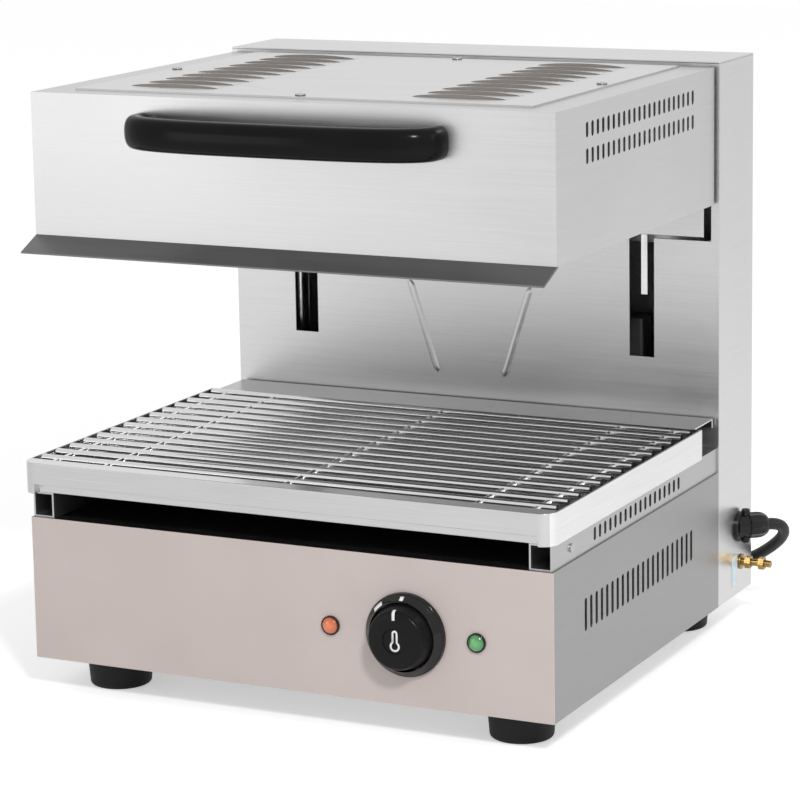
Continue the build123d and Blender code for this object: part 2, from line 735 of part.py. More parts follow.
with BuildPart() as bushings:
    for side in (-1, 1):
        for base_z in HOUSING_BASES:
            rod(level(base_z, side * GUIDE_X, GUIDE_Y), HOUSING_H, BUSHING_R)
            rod(
                level(base_z, side * GUIDE_X, GUIDE_Y),
                HOUSING_H,
                GUIDE_R + RUN_FIT,
                Mode.SUBTRACT,
            )
bushings.part.label = "bushings"
export_step(bushings.part, "parts/bushings.step")

# lift arms: upright plates behind the slots, with a lug that reaches through to the head
ARM_FRONT = BASE_DEPTH + SHEET + ARM_GAP
LUG_FRONT = HEAD_BACK + SHEET
with BuildPart() as lift_arms:
    for side in (-1, 1):
        with BuildSketch(from_right(side * ARM_SLOT_X - ARM_T / 2)) as arm:
            with BuildLine():
                Polyline(
                    (ARM_FRONT, ARM_BOTTOM),
                    (ARM_BACK, ARM_BOTTOM),
                    (ARM_BACK, ARM_TOP),
                    (LUG_FRONT, ARM_TOP),
                    (LUG_FRONT, ARM_LUG_BOTTOM),
                    (ARM_FRONT, ARM_LUG_BOTTOM),
                    close=True,
                )
            make_face()
        extrude(arm.sketch, amount=ARM_T)
lift_arms.part.label = "lift_arms"
export_step(lift_arms.part, "parts/lift_arms.step")

# pulleys on the upper cross bar
with BuildPart() as pulley_brackets:
    for side in (-1, 1):
        for cheek_side in (-1, 1):
            inner_x = side * PULLEY_X + cheek_side * (PULLEY_W / 2 + CHEEK_GAP)
            cheek_x = sorted((inner_x, inner_x + cheek_side * CHEEK_T))
            block(
                cheek_x,
                (PULLEY_Y - CHEEK_W / 2, PULLEY_Y + CHEEK_W / 2),
                (PULLEY_Z - CHEEK_W / 2, CROSS_BAR_Z[1]),
            )
            rod(
                from_right(cheek_x[0], PULLEY_Y, PULLEY_Z),
                CHEEK_T,
                AXLE_R + RUN_FIT,
                Mode.SUBTRACT,
            )
pulley_brackets.part.label = "pulley_brackets"
export_step(pulley_brackets.part, "parts/pulley_brackets.step")

AXLE_HALF = PULLEY_W / 2 + CHEEK_GAP + CHEEK_T + AXLE_END
with BuildPart() as pulley_axles:
    for side in (-1, 1):
        rod(from_right(side * PULLEY_X - AXLE_HALF, PULLEY_Y, PULLEY_Z), 2 * AXLE_HALF, AXLE_R)
pulley_axles.part.label = "pulley_axles"
export_step(pulley_axles.part, "parts/pulley_axles.step")

GROOVE_W = 5.0
for side, pulley_name in ((-1, "pulley_left"), (1, "pulley_right")):
    middle_x = side * PULLEY_X
    with BuildPart() as pulley:
        rod(from_right(middle_x - PULLEY_W / 2, PULLEY_Y, PULLEY_Z), PULLEY_W, PULLEY_R)
        with BuildSketch(from_right(middle_x - GROOVE_W / 2, PULLEY_Y, PULLEY_Z)) as groove:
            Circle(PULLEY_R)
            Circle(GROOVE_R, mode=Mode.SUBTRACT)
        extrude(groove.sketch, amount=GROOVE_W, mode=Mode.SUBTRACT)
        rod(
            from_right(middle_x - PULLEY_W / 2, PULLEY_Y, PULLEY_Z),
            PULLEY_W,
            AXLE_R + RUN_FIT,
            Mode.SUBTRACT,
        )
    pulley.part.label = pulley_name
    export_step(pulley.part, f"parts/{pulley_name}.step")

# counterweight and its cables: front runs to the carriage, wraps over the pulleys, rear runs
WEIGHT_TOP = WEIGHT_BOTTOM + WEIGHT_H
with BuildPart() as counterweight:
    block(
        (-WEIGHT_HALF_W, WEIGHT_HALF_W),
        (CABLE_BACK_Y - WEIGHT_T / 2, CABLE_BACK_Y + WEIGHT_T / 2),
        (WEIGHT_BOTTOM, WEIGHT_TOP),
    )
    chamfer(counterweight.edges().filter_by(Axis.Z), WEIGHT_EDGE)
counterweight.part.label = "counterweight"
export_step(counterweight.part, "parts/counterweight.step")

with BuildPart() as front_cables:
    for side in (-1, 1):
        rod(
            level(CARRIAGE_Z[1], side * PULLEY_X, CABLE_FRONT_Y),
            PULLEY_Z - CARRIAGE_Z[1],
            CABLE_R,
        )
front_cables.part.label = "front_cables"
export_step(front_cables.part, "parts/front_cables.step")

with BuildPart() as rear_cables:
    for side in (-1, 1):
        rod(level(WEIGHT_TOP, side * PULLEY_X, CABLE_BACK_Y), PULLEY_Z - WEIGHT_TOP, CABLE_R)
rear_cables.part.label = "rear_cables"
export_step(rear_cables.part, "parts/rear_cables.step")

with BuildPart() as cable_wraps:
    for side in (-1, 1):
        with BuildSketch(level(PULLEY_Z, side * PULLEY_X, CABLE_FRONT_Y)) as cable_round:
            Circle(CABLE_R)
        pulley_axis = Axis(place(side * PULLEY_X, PULLEY_Y, PULLEY_Z), (-1, 0, 0))
        revolve(cable_round.sketch, axis=pulley_axis, revolution_arc=180)
cable_wraps.part.label = "cable_wraps"
export_step(cable_wraps.part, "parts/cable_wraps.step")

# head casing: open below, with a wide rim above that carries the cover
HANDLE_SCREW_X = HANDLE_HALF_W - HANDLE_T / 2
COVER_SCREWS = [
    (0, COVER_FRONT + COVER_SCREW_INSET),
    (0, COVER_BACK - COVER_SCREW_INSET),
    (-COVER_HALF_W + COVER_SCREW_INSET, (COVER_FRONT + COVER_BACK) / 2),
    (COVER_HALF_W - COVER_SCREW_INSET, (COVER_FRONT + COVER_BACK) / 2),
]
COVER_SCREW_R = 4.0
with BuildPart() as head_casing:
    block((-HEAD_HALF_W, HEAD_HALF_W), (HEAD_FRONT, HEAD_BACK), (HEAD_BOTTOM, HEAD_TOP))
    block(
        (-HEAD_HALF_W + SHEET, HEAD_HALF_W - SHEET),
        (HEAD_FRONT + SHEET, HEAD_BACK - SHEET),
        (HEAD_BOTTOM, HEAD_TOP - SHEET),
        Mode.SUBTRACT,
    )
    block(
        (-HEAD_HALF_W + HEAD_RIM_X, HEAD_HALF_W - HEAD_RIM_X),
        (HEAD_FRONT + HEAD_RIM_Y, HEAD_BACK - HEAD_RIM_Y),
        (HEAD_TOP - SHEET, HEAD_TOP),
        Mode.SUBTRACT,
    )
    for row_z in HEAD_SLOT_Z:
        side_slots(HEAD_HALF_W, HEAD_SLOT_Y, HEAD_SLOT_PITCH, HEAD_SLOTS, row_z, HEAD_SLOT_H)
    for side in (-1, 1):
        rod(
            from_front(HEAD_FRONT + SHEET, side * HANDLE_SCREW_X, HANDLE_Z),
            SHEET,
            HANDLE_SCREW_R + RUN_FIT,
            Mode.SUBTRACT,
        )
    for screw in COVER_SCREWS:
        rod(level(HEAD_TOP - SHEET, *screw), SHEET, COVER_SCREW_R / 2, Mode.SUBTRACT)
head_casing.part.label = "head_casing"
export_step(head_casing.part, "parts/head_casing.step")

# head cover: a raised plate with two groups of louvres
COVER_TOP = HEAD_TOP + COVER_T
HOOD_T = 0.6
with BuildPart() as head_cover:
    block((-COVER_HALF_W, COVER_HALF_W), (COVER_FRONT, COVER_BACK), (HEAD_TOP, COVER_TOP))
    for side in (-1, 1):
        for row in range(LOUVRE_ROWS):
            slot_y = LOUVRE_FIRST_Y + row * LOUVRE_PITCH
            slot_x = (side * LOUVRE_X - LOUVRE_LENGTH / 2, side * LOUVRE_X + LOUVRE_LENGTH / 2)
            block(
                slot_x,
                (slot_y - LOUVRE_WIDTH / 2, slot_y + LOUVRE_WIDTH / 2),
                (HEAD_TOP, COVER_TOP),
                Mode.SUBTRACT,
            )
            hood_back = slot_y + LOUVRE_WIDTH / 2 + HOOD_T
            hood_front = hood_back - LOUVRE_HOOD_DEPTH
            with BuildSketch(from_right(slot_x[0])) as hood:
                with BuildLine():
                    Polyline(
                        (hood_back - HOOD_T, COVER_TOP),
                        (hood_front, COVER_TOP + LOUVRE_HOOD_H - HOOD_T),
                        (hood_front, COVER_TOP + LOUVRE_HOOD_H),
                        (hood_back + HOOD_T, COVER_TOP),
                        close=True,
                    )
                make_face()
            extrude(hood.sketch, amount=LOUVRE_LENGTH)
    for screw in COVER_SCREWS:
        rod(level(HEAD_TOP, *screw), COVER_T, COVER_SCREW_R / 2, Mode.SUBTRACT)
head_cover.part.label = "head_cover"
export_step(head_cover.part, "parts/head_cover.step")

with BuildPart() as cover_screws:
    for screw in COVER_SCREWS:
        rod(level(COVER_TOP, *screw), SCREW_HEAD_T, COVER_SCREW_R)
        rod(level(HEAD_TOP - 2 * SHEET, *screw), COVER_T + 2 * SHEET, COVER_SCREW_R / 2 - RUN_FIT)
cover_screws.part.label = "cover_screws"
export_step(cover_screws.part, "parts/cover_screws.step")

# flared lip under the head's front, on a flange inside the casing
LIP_INNER_Y = HEAD_FRONT + SHEET
LIP_TIP = (HEAD_FRONT - LIP_REACH, HEAD_BOTTOM - LIP_DROP)
with BuildPart() as head_lip:
    with BuildSketch(from_right(-HEAD_HALF_W)) as lip_profile:
        with BuildLine():
            Polyline(
                LIP_TIP,
                (HEAD_FRONT, HEAD_BOTTOM),
                (LIP_INNER_Y, HEAD_BOTTOM),
                (LIP_INNER_Y, HEAD_BOTTOM + LIP_FLANGE_H),
                (LIP_INNER_Y + SHEET, HEAD_BOTTOM + LIP_FLANGE_H),
                (LIP_INNER_Y + SHEET, HEAD_BOTTOM - SHEET),
                (LIP_TIP[0], LIP_TIP[1] - SHEET),
                close=True,
            )
        make_face()
    extrude(lip_profile.sketch, amount=2 * HEAD_HALF_W)
    for side in (-1, 1):
        wall = sorted((side * HEAD_HALF_W, side * (HEAD_HALF_W - SHEET)))
        block(wall, (HEAD_FRONT, LIP_INNER_Y + SHEET), (HEAD_BOTTOM, HEAD_TOP), Mode.SUBTRACT)
head_lip.part.label = "head_lip"
export_step(head_lip.part, "parts/head_lip.step")

with BuildPart() as head_back_plate:
    block(
        (-BACK_PLATE_HALF_W, BACK_PLATE_HALF_W),
        (HEAD_BACK, HEAD_BACK + SHEET),
        (BACK_PLATE_BOTTOM, HEAD_TOP),
    )
head_back_plate.part.label = "head_back_plate"
export_step(head_back_plate.part, "parts/head_back_plate.step")

# reflector: a tapered tray, upside down, with a flange that closes the head below
FLANGE_Z = HEAD_BOTTOM + SHEET
REFLECTOR_TOP = FLANGE_Z + REFLECTOR_H
REFLECTOR_MID_Y = (REFLECTOR_FRONT + REFLECTOR_BACK) / 2
REFLECTOR_W = 2 * REFLECTOR_HALF_W
REFLECTOR_D = REFLECTOR_BACK - REFLECTOR_FRONT


def tapered(bottom_z, top_z, inset, mode):
    """Tapered block between two heights, drawn in from the reflector's outline by inset."""
    with BuildSketch(level(bottom_z, 0, REFLECTOR_MID_Y)) as low:
        Rectangle(REFLECTOR_W - 2 * inset, REFLECTOR_D - 2 * inset)
    with BuildSketch(level(top_z, 0, REFLECTOR_MID_Y)) as high:
        Rectangle(
            REFLECTOR_W - 2 * (inset + REFLECTOR_TAPER),
            REFLECTOR_D - 2 * (inset + REFLECTOR_TAPER),
        )
    loft([low.sketch.face(), high.sketch.face()], mode=mode)


with BuildPart() as reflector:
    block(
        (-HEAD_HALF_W + SHEET, HEAD_HALF_W - SHEET),
        (LIP_INNER_Y + SHEET, HEAD_BACK - SHEET),
        (FLANGE_Z, FLANGE_Z + REFLECTOR_T),
    )
    tapered(FLANGE_Z, REFLECTOR_TOP, 0, Mode.ADD)
    tapered(FLANGE_Z, REFLECTOR_TOP - REFLECTOR_T, REFLECTOR_T, Mode.SUBTRACT)
    for row_y in ELEMENT_ROWS_Y:
        for side in (-1, 1):
            rod(
                from_right(
                    REFLECTOR_HALF_W - 2 * REFLECTOR_TAPER,
                    row_y + side * ELEMENT_HALF_GAP,
                    ELEMENT_Z,
                ),
                2 * REFLECTOR_TAPER,
                ELEMENT_R + FIT,
                Mode.SUBTRACT,
            )
reflector.part.label = "reflector"
export_step(reflector.part, "parts/reflector.step")

with BuildPart() as insulation:
    block(
        (-REFLECTOR_HALF_W + REFLECTOR_TAPER, REFLECTOR_HALF_W - REFLECTOR_TAPER),
        (REFLECTOR_FRONT + REFLECTOR_TAPER, REFLECTOR_BACK - REFLECTOR_TAPER),
        (REFLECTOR_TOP, REFLECTOR_TOP + INSULATION_T),
    )
    fillet(insulation.edges().filter_by(Axis.Z), INSULATION_CORNER_R)
insulation.part.label = "insulation"
export_step(insulation.part, "parts/insulation.step")

# heating elements: three hairpins of tube, their ends through the reflector's right wall
with BuildPart() as heating_elements:
    for row_y in ELEMENT_ROWS_Y:
        with BuildLine(level(ELEMENT_Z, 0, row_y)) as hairpin:
            Line((ELEMENT_END_X, -ELEMENT_HALF_GAP), (ELEMENT_TURN_X, -ELEMENT_HALF_GAP))
            ThreePointArc(
                (ELEMENT_TURN_X, -ELEMENT_HALF_GAP),
                (ELEMENT_TURN_X - ELEMENT_HALF_GAP, 0),
                (ELEMENT_TURN_X, ELEMENT_HALF_GAP),
            )
            Line((ELEMENT_TURN_X, ELEMENT_HALF_GAP), (ELEMENT_END_X, ELEMENT_HALF_GAP))
        with BuildSketch(from_right(ELEMENT_END_X, row_y - ELEMENT_HALF_GAP, ELEMENT_Z)) as tube:
            Circle(ELEMENT_R)
        sweep(tube.sketch, path=hairpin.wire())
heating_elements.part.label = "heating_elements"
export_step(heating_elements.part, "parts/heating_elements.step")

SUPPORT_TOP = ELEMENT_Z - ELEMENT_R - SUPPORT_GAP
SUPPORT_SHRINK = REFLECTOR_T + REFLECTOR_TAPER * (SUPPORT_TOP - FLANGE_Z) / REFLECTOR_H + FIT
with BuildPart() as element_supports:
    for support_x in SUPPORT_X:
        block(
            (support_x - SUPPORT_W / 2, support_x + SUPPORT_W / 2),
            (REFLECTOR_FRONT + SUPPORT_SHRINK, REFLECTOR_BACK - SUPPORT_SHRINK),
            (SUPPORT_TOP - SUPPORT_T, SUPPORT_TOP),
        )
element_supports.part.label = "element_supports"
export_step(element_supports.part, "parts/element_supports.step")

# handle: an oval bar bent back to the head at both ends
HANDLE_LINE_Y = HEAD_FRONT - HANDLE_REACH + HANDLE_T / 2
HANDLE_BORE = 14.0
with BuildPart() as handle:
    with BuildLine(level(HANDLE_Z)) as handle_line:
        FilletPolyline(
            (-HANDLE_SCREW_X, HEAD_FRONT),
            (-HANDLE_SCREW_X, HANDLE_LINE_Y),
            (HANDLE_SCREW_X, HANDLE_LINE_Y),
            (HANDLE_SCREW_X, HEAD_FRONT),
            radius=HANDLE_CORNER_R,
        )
    with BuildSketch(from_front(HEAD_FRONT, -HANDLE_SCREW_X, HANDLE_Z)) as handle_section:
        Ellipse(HANDLE_T / 2, HANDLE_H / 2)
    sweep(handle_section.sketch, path=handle_line.wire())
    for side in (-1, 1):
        rod(
            from_front(HEAD_FRONT, side * HANDLE_SCREW_X, HANDLE_Z),
            HANDLE_BORE,
            HANDLE_SCREW_R + RUN_FIT,
            Mode.SUBTRACT,
        )
handle.part.label = "handle"
export_step(handle.part, "parts/handle.step")

with BuildPart() as handle_screws:
    for side in (-1, 1):
        inside_y = HEAD_FRONT + SHEET
        rod(from_front(inside_y, side * HANDLE_SCREW_X, HANDLE_Z), HANDLE_BORE, HANDLE_SCREW_R)
        rod(
            from_front(inside_y + HANDLE_SCREW_HEAD_T, side * HANDLE_SCREW_X, HANDLE_Z),
            HANDLE_SCREW_HEAD_T,
            2 * HANDLE_SCREW_R,
        )
handle_screws.part.label = "handle_screws"
export_step(handle_screws.part, "parts/handle_screws.step")

# bonding stud with two nuts, and a blank plate beside it
STUD_TAIL = 6.0
with BuildPart() as earth_stud:
    rod(
        from_right(HALF_W - SHEET - STUD_TAIL, STUD_Y, STUD_Z),
        STUD_TAIL + SHEET + STUD_LENGTH,
        STUD_R,
    )
    rod(from_right(HALF_W, STUD_Y, STUD_Z), WASHER_T, WASHER_R)
earth_stud.part.label = "earth_stud"
export_step(earth_stud.part, "parts/earth_stud.step")

with BuildPart() as earth_nuts:
    for out in NUT_OUT:
        with BuildSketch(from_right(HALF_W + out - NUT_T / 2, STUD_Y, STUD_Z)) as nut:
            RegularPolygon(NUT_R, 6)
            Circle(STUD_R + RUN_FIT, mode=Mode.SUBTRACT)
        extrude(nut.sketch, amount=NUT_T)
earth_nuts.part.label = "earth_nuts"
export_step(earth_nuts.part, "parts/earth_nuts.step")

with BuildPart() as blank_plate:
    block((HALF_W, HALF_W + PLATE_T), PLATE_Y, PLATE_Z)
blank_plate.part.label = "blank_plate"
export_step(blank_plate.part, "parts/blank_plate.step")

# cable gland: flange, slanted fluted body, and a nut inside the wall
gland_axis = Plane(
    origin=place(HALF_W, GLAND_Y, GLAND_Z),
    x_dir=(0, 0, 1),
    z_dir=(math.cos(math.radians(GLAND_ANGLE)), math.sin(math.radians(GLAND_ANGLE)), 0),
)
with BuildPart() as cable_gland:
    rod(gland_axis, GLAND_LENGTH, GLAND_R)
    with BuildSketch(gland_axis.offset(GLAND_LENGTH / 2)) as flutes:
        with PolarLocations(GLAND_R + FLUTE_OUT, GLAND_FLUTES):
            Circle(FLUTE_R)
    extrude(flutes.sketch, amount=GLAND_LENGTH / 2, mode=Mode.SUBTRACT)
    block(
        (HALF_W - 2 * GLAND_R, HALF_W),
        (GLAND_Y - 2 * GLAND_R, GLAND_Y + 2 * GLAND_R),
        (GLAND_Z - 2 * GLAND_R, GLAND_Z + 2 * GLAND_R),
        Mode.SUBTRACT,
    )
    rod(from_right(HALF_W, GLAND_Y, GLAND_Z), GLAND_FLANGE_T, GLAND_FLANGE_R)
    rod(from_right(HALF_W - SHEET - GLAND_NUT_T, GLAND_Y, GLAND_Z), GLAND_NUT_T + SHEET, GLAND_NECK_R)
    rod(from_right(HALF_W - SHEET - GLAND_NUT_T, GLAND_Y, GLAND_Z), GLAND_NUT_T, GLAND_R)
cable_gland.part.label = "cable_gland"
export_step(cable_gland.part, "parts/cable_gland.step")


def corner_radii(points):
    """Largest easy radius at each corner: 0.45 of the shorter run over the tangent of half the turn."""
    radii = []
    for before, corner, after in zip(points, points[1:], points[2:]):
        turn = math.radians((corner - before).get_angle(after - corner))
        shorter = min((corner - before).length, (after - corner).length)
        radii.append(0.45 * shorter / math.tan(turn / 2))
    return radii


# free stretch of the mains lead
route = [Vector(*place(*point)) for point in CORD_ROUTE]
bend_radii = corner_radii(route)
print("lead bend radii:", [round(radius, 1) for radius in bend_radii])
with BuildPart() as mains_lead:
    with BuildLine() as lead_line:
        FilletPolyline(*route, radius=bend_radii)
    with BuildSketch(Plane(origin=route[0], z_dir=route[1] - route[0])) as lead_round:
        Circle(CORD_R)
    sweep(lead_round.sketch, path=lead_line.wire())
lead_length = lead_line.wire().length
print("lead length:", round(lead_length, 1))
print("lead volume over section times length:", mains_lead.part.volume / (math.pi * CORD_R**2 * lead_length))
mains_lead.part.label = "mains_lead"
export_step(mains_lead.part, "parts/mains_lead.step")

# put-away coil: the turns spiral in on the floor, climb a layer, and spiral out on top
COIL_START = Vector(*place(CORD_ROUTE[-1][0] - COIL_LEAD, CORD_ROUTE[-1][1], CORD_FLOOR))
COIL_MIDDLE = COIL_START + Vector(0, COIL_OUTER_R, 0)
REVERSE = COIL_TURNS / 2


def coil_point(turns):
    """Point of the coil after so many turns, counted clockwise from its front."""
    inward = min(turns, REVERSE - COIL_CLIMB / 2)
    outward = max(turns - REVERSE - COIL_CLIMB / 2, 0)
    radius = COIL_OUTER_R - COIL_PITCH * (inward - outward)
    climb = min(max((turns - REVERSE) / COIL_CLIMB + 0.5, 0), 1)
    height = COIL_LAYER * climb**2 * (3 - 2 * climb)
    angle = 2 * math.pi * turns
    return COIL_MIDDLE + Vector(-radius * math.sin(angle), -radius * math.cos(angle), height)


def coil_direction(turns):
    """Unit tangent of the coil, by a central difference."""
    step = 0.001
    return (coil_point(turns + step) - coil_point(turns - step)).normalized()


def biarc(start, start_dir, end, end_dir):
    """Two arcs that leave start along start_dir and reach end along end_dir."""
    chord = end - start
    both = start_dir + end_dir
    a = 2 * (start_dir.dot(end_dir) - 1)
    b = -2 * chord.dot(both)
    c = chord.dot(chord)
    if abs(a) < 1e-9:
        reach = -c / b
    else:
        reach = (-b - math.sqrt(b * b - 4 * a * c)) / (2 * a)
    joint = (start + start_dir * reach + end - end_dir * reach) * 0.5
    joint_dir = end - end_dir * reach - start - start_dir * reach
    TangentArc(start, joint, tangent=start_dir)
    TangentArc(joint, end, tangent=joint_dir.normalized())


ALONG = Vector(-1, 0, 0)
QUARTERS = 4 * COIL_TURNS
coil_points = [coil_point(i / 4) for i in range(QUARTERS + 1)]
coil_dirs = [ALONG] + [coil_direction(i / 4) for i in range(1, QUARTERS)] + [ALONG]
PLUG_AXIS_Z = PLUG_R + FLOOR_GAP
tail_end = Vector(coil_points[-1].X - COIL_TAIL, coil_points[-1].Y, PLUG_AXIS_Z)
with BuildPart() as cord_coil:
    with BuildLine() as coil_line:
        Line(COIL_START - ALONG * COIL_LEAD, COIL_START)
        for i in range(QUARTERS):
            biarc(coil_points[i], coil_dirs[i], coil_points[i + 1], coil_dirs[i + 1])
        biarc(coil_points[-1], ALONG, tail_end, ALONG)
        Line(tail_end, tail_end + ALONG * COIL_LEAD)
    with BuildSketch(Plane(origin=COIL_START - ALONG * COIL_LEAD, z_dir=ALONG)) as coil_round:
        Circle(CORD_R)
    sweep(coil_round.sketch, path=coil_line.wire())
coil_length = coil_line.wire().length
TURN_SAMPLES = 72
samples = [coil_point(i / TURN_SAMPLES) for i in range(TURN_SAMPLES * COIL_TURNS + 1)]
least_gap = min(
    (samples[i] - samples[j]).length - 2 * CORD_R
    for i in range(len(samples))
    for j in range(i + TURN_SAMPLES // 2, len(samples))
)
print("coil length:", round(coil_length, 1), "least gap between turns:", round(least_gap, 2))
print("coil volume over section times length:", cord_coil.part.volume / (math.pi * CORD_R**2 * coil_length))
cord_coil.part.label = "cord_coil"
export_step(cord_coil.part, "parts/cord_coil.step")

# mains plug: boot, round body and two pins
plug_start = Plane(origin=tail_end + ALONG * COIL_LEAD, x_dir=(0, 1, 0), z_dir=ALONG)
with BuildPart() as mains_plug:
    with BuildSketch(plug_start) as boot_back:
        Circle(PLUG_BOOT_BACK_R)
    with BuildSketch(plug_start.offset(PLUG_BOOT_LENGTH)) as boot_front:
        Circle(PLUG_BOOT_R)
    loft([boot_back.sketch.face(), boot_front.sketch.face()])
    with BuildSketch(plug_start.offset(PLUG_BOOT_LENGTH)) as plug_section:
        Circle(PLUG_R)
    extrude(plug_section.sketch, amount=PLUG_LENGTH)
    fillet(mains_plug.edges().filter_by(GeomType.CIRCLE).sort_by(Edge.length)[-2:], PLUG_EDGE_R)
    with BuildSketch(plug_start.offset(PLUG_BOOT_LENGTH + PLUG_LENGTH)) as pins:
        with GridLocations(PLUG_PIN_GAP, 0, 2, 1):
            Circle(PLUG_PIN_R)
    extrude(pins.sketch, amount=PLUG_PIN_LENGTH)
mains_plug.part.label = "mains_plug"
export_step(mains_plug.part, "parts/mains_plug.step")
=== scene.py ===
# %% [markdown]
# # A grill whose head slides up and down
#
# This lesson dresses a counter-top salamander grill. The imported model gives every part at its real
# size, in metres, with its origin at the middle of the footprint.

# %% The imported model
import json
import math

import bmesh
import bpy
import numpy as np
from mathutils import Matrix, Vector

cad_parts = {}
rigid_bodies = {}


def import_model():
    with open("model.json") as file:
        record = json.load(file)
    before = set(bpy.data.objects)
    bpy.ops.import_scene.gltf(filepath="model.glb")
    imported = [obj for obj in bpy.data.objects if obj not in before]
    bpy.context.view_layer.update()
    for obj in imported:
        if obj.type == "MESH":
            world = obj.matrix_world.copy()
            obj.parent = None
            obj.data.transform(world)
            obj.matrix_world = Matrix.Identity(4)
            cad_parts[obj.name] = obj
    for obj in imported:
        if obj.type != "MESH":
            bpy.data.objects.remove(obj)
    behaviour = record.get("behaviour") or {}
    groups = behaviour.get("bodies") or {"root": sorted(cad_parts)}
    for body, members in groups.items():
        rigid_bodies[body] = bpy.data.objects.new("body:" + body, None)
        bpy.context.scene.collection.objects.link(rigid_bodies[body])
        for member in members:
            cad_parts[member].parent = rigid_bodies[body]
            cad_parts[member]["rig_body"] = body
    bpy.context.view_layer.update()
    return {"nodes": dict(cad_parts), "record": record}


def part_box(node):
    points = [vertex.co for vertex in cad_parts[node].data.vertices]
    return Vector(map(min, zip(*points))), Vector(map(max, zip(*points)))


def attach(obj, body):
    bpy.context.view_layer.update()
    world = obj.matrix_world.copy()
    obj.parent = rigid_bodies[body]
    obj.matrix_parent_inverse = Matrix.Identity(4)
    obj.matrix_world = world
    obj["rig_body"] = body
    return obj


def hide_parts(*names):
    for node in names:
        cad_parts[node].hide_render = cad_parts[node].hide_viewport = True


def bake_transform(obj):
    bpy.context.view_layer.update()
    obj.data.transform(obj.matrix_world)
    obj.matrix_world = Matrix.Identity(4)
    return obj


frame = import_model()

NODES = frame["nodes"]

# %% [markdown]
# ## Camera
#
# The camera stands to the right of the grill and a little above it, with a long lens, so that
# upright edges stay nearly parallel. Its place and lens were fitted to corners of the grill
# whose real places are known. We build its three axes from a heading, a tilt and a small roll,
# because that way each angle can be read and changed by itself.

# %% A camera from heading, tilt and roll
CAMERA_PLACE = Vector((1.0975, -2.2358, 0.7455))
CAMERA_HEADING = math.radians(-26.295)
CAMERA_TILT = math.radians(10.879)
CAMERA_ROLL = math.radians(-0.982)
CAMERA_LENS = 141.05
CAMERA_SHIFT_Y = -0.075

right = Vector((math.cos(CAMERA_HEADING), -math.sin(CAMERA_HEADING), 0))
ahead = Vector((math.sin(CAMERA_HEADING), math.cos(CAMERA_HEADING), 0))
up = Vector((0, 0, 1))
view_ahead = ahead * math.cos(CAMERA_TILT) - up * math.sin(CAMERA_TILT)
view_up = up * math.cos(CAMERA_TILT) + ahead * math.sin(CAMERA_TILT)
rolled_right = right * math.cos(CAMERA_ROLL) + view_up * math.sin(CAMERA_ROLL)
rolled_up = view_up * math.cos(CAMERA_ROLL) - right * math.sin(CAMERA_ROLL)

camera = bpy.data.objects.new("camera", bpy.data.cameras.new("camera"))
bpy.context.scene.collection.objects.link(camera)
axes = Matrix((rolled_right, rolled_up, -view_ahead)).transposed()
camera.matrix_world = Matrix.Translation(CAMERA_PLACE) @ axes.to_4x4()
camera.data.lens = CAMERA_LENS
camera.data.shift_y = CAMERA_SHIFT_Y
camera.data.clip_end = 50
bpy.context.scene.camera = camera
print("camera at", tuple(round(v, 3) for v in CAMERA_PLACE), "lens", CAMERA_LENS)

# %% [markdown]
# ## Mains lead
#
# The lead is one length of round rubber cable. It leaves the gland on the column's right side,
# bends round and down behind the column, lies on the floor and ends in a neat coil with its
# plug. A curve is the right tool: its control points are the route, and a smooth curve of
# order 3 passes between them the way a springy cable does. Points on a coil sit a little
# outside the turn, by one over the cosine of half a step, so that the curve has the turn's size.

# %% The route from the gland to the floor
CABINET_ORIGIN = Vector((0.0115, 0.201, 0))
GLAND_SEAT = Vector((0.225, 0.393, 0.087)) - CABINET_ORIGIN
GLAND_LENGTH = 0.026
GLAND_STUB = 0.012
GLAND_ANGLE = math.radians(40)
GLAND_AXIS = Vector((math.cos(GLAND_ANGLE), math.sin(GLAND_ANGLE), 0))
CORD_R = 0.005
CORD_FLOOR = 0.0052
FREE_ROUTE = [
    (0.254, 0.430, 0.074),
    (0.237, 0.437, 0.058),
    (0.216, 0.443, 0.045),
    (0.190, 0.448, 0.033),
    (0.160, 0.454, 0.017),
    (0.128, 0.460, 0.0065),
    (0.100, 0.462, CORD_FLOOR),
    (0.080, 0.462, CORD_FLOOR),
]
cord_exit = GLAND_SEAT + GLAND_AXIS * GLAND_LENGTH
route = [cord_exit, GLAND_SEAT + GLAND_AXIS * (GLAND_LENGTH + GLAND_STUB)]
route += [Vector(point) - CABINET_ORIGIN for point in FREE_ROUTE]
print("free route points:", len(route))

# %% The put-away coil
COIL_TURNS = 4
COIL_R = 0.066
COIL_PITCH = 0.0124
COIL_LAYER = 0.011
COIL_CLIMB = 0.5
COIL_LEAD = 0.010
COIL_TAIL = (0.022, 0.045, 0.055)
PLUG_AXIS_Z = 0.0187
COIL_STEPS = 16


def coil_points(turns):
    """Turns spiral in on the floor, climb a layer at half way, and spiral out on top.

    The radius is R minus the pitch times the turns gone inwards, less those gone outwards; the
    climb is a smooth step of half a turn; the angle is a whole circle a turn.
    """
    inward = np.minimum(turns, COIL_TURNS / 2 - COIL_CLIMB / 2)
    outward = np.maximum(turns - COIL_TURNS / 2 - COIL_CLIMB / 2, 0)
    radius = (COIL_R - COIL_PITCH * (inward - outward)) / math.cos(math.pi / COIL_STEPS)
    climb = np.clip((turns - COIL_TURNS / 2) / COIL_CLIMB + 0.5, 0, 1)
    height = COIL_LAYER * climb**2 * (3 - 2 * climb)
    angle = 2 * math.pi * turns
    return np.stack([-radius * np.sin(angle), -radius * np.cos(angle), height], axis=1)


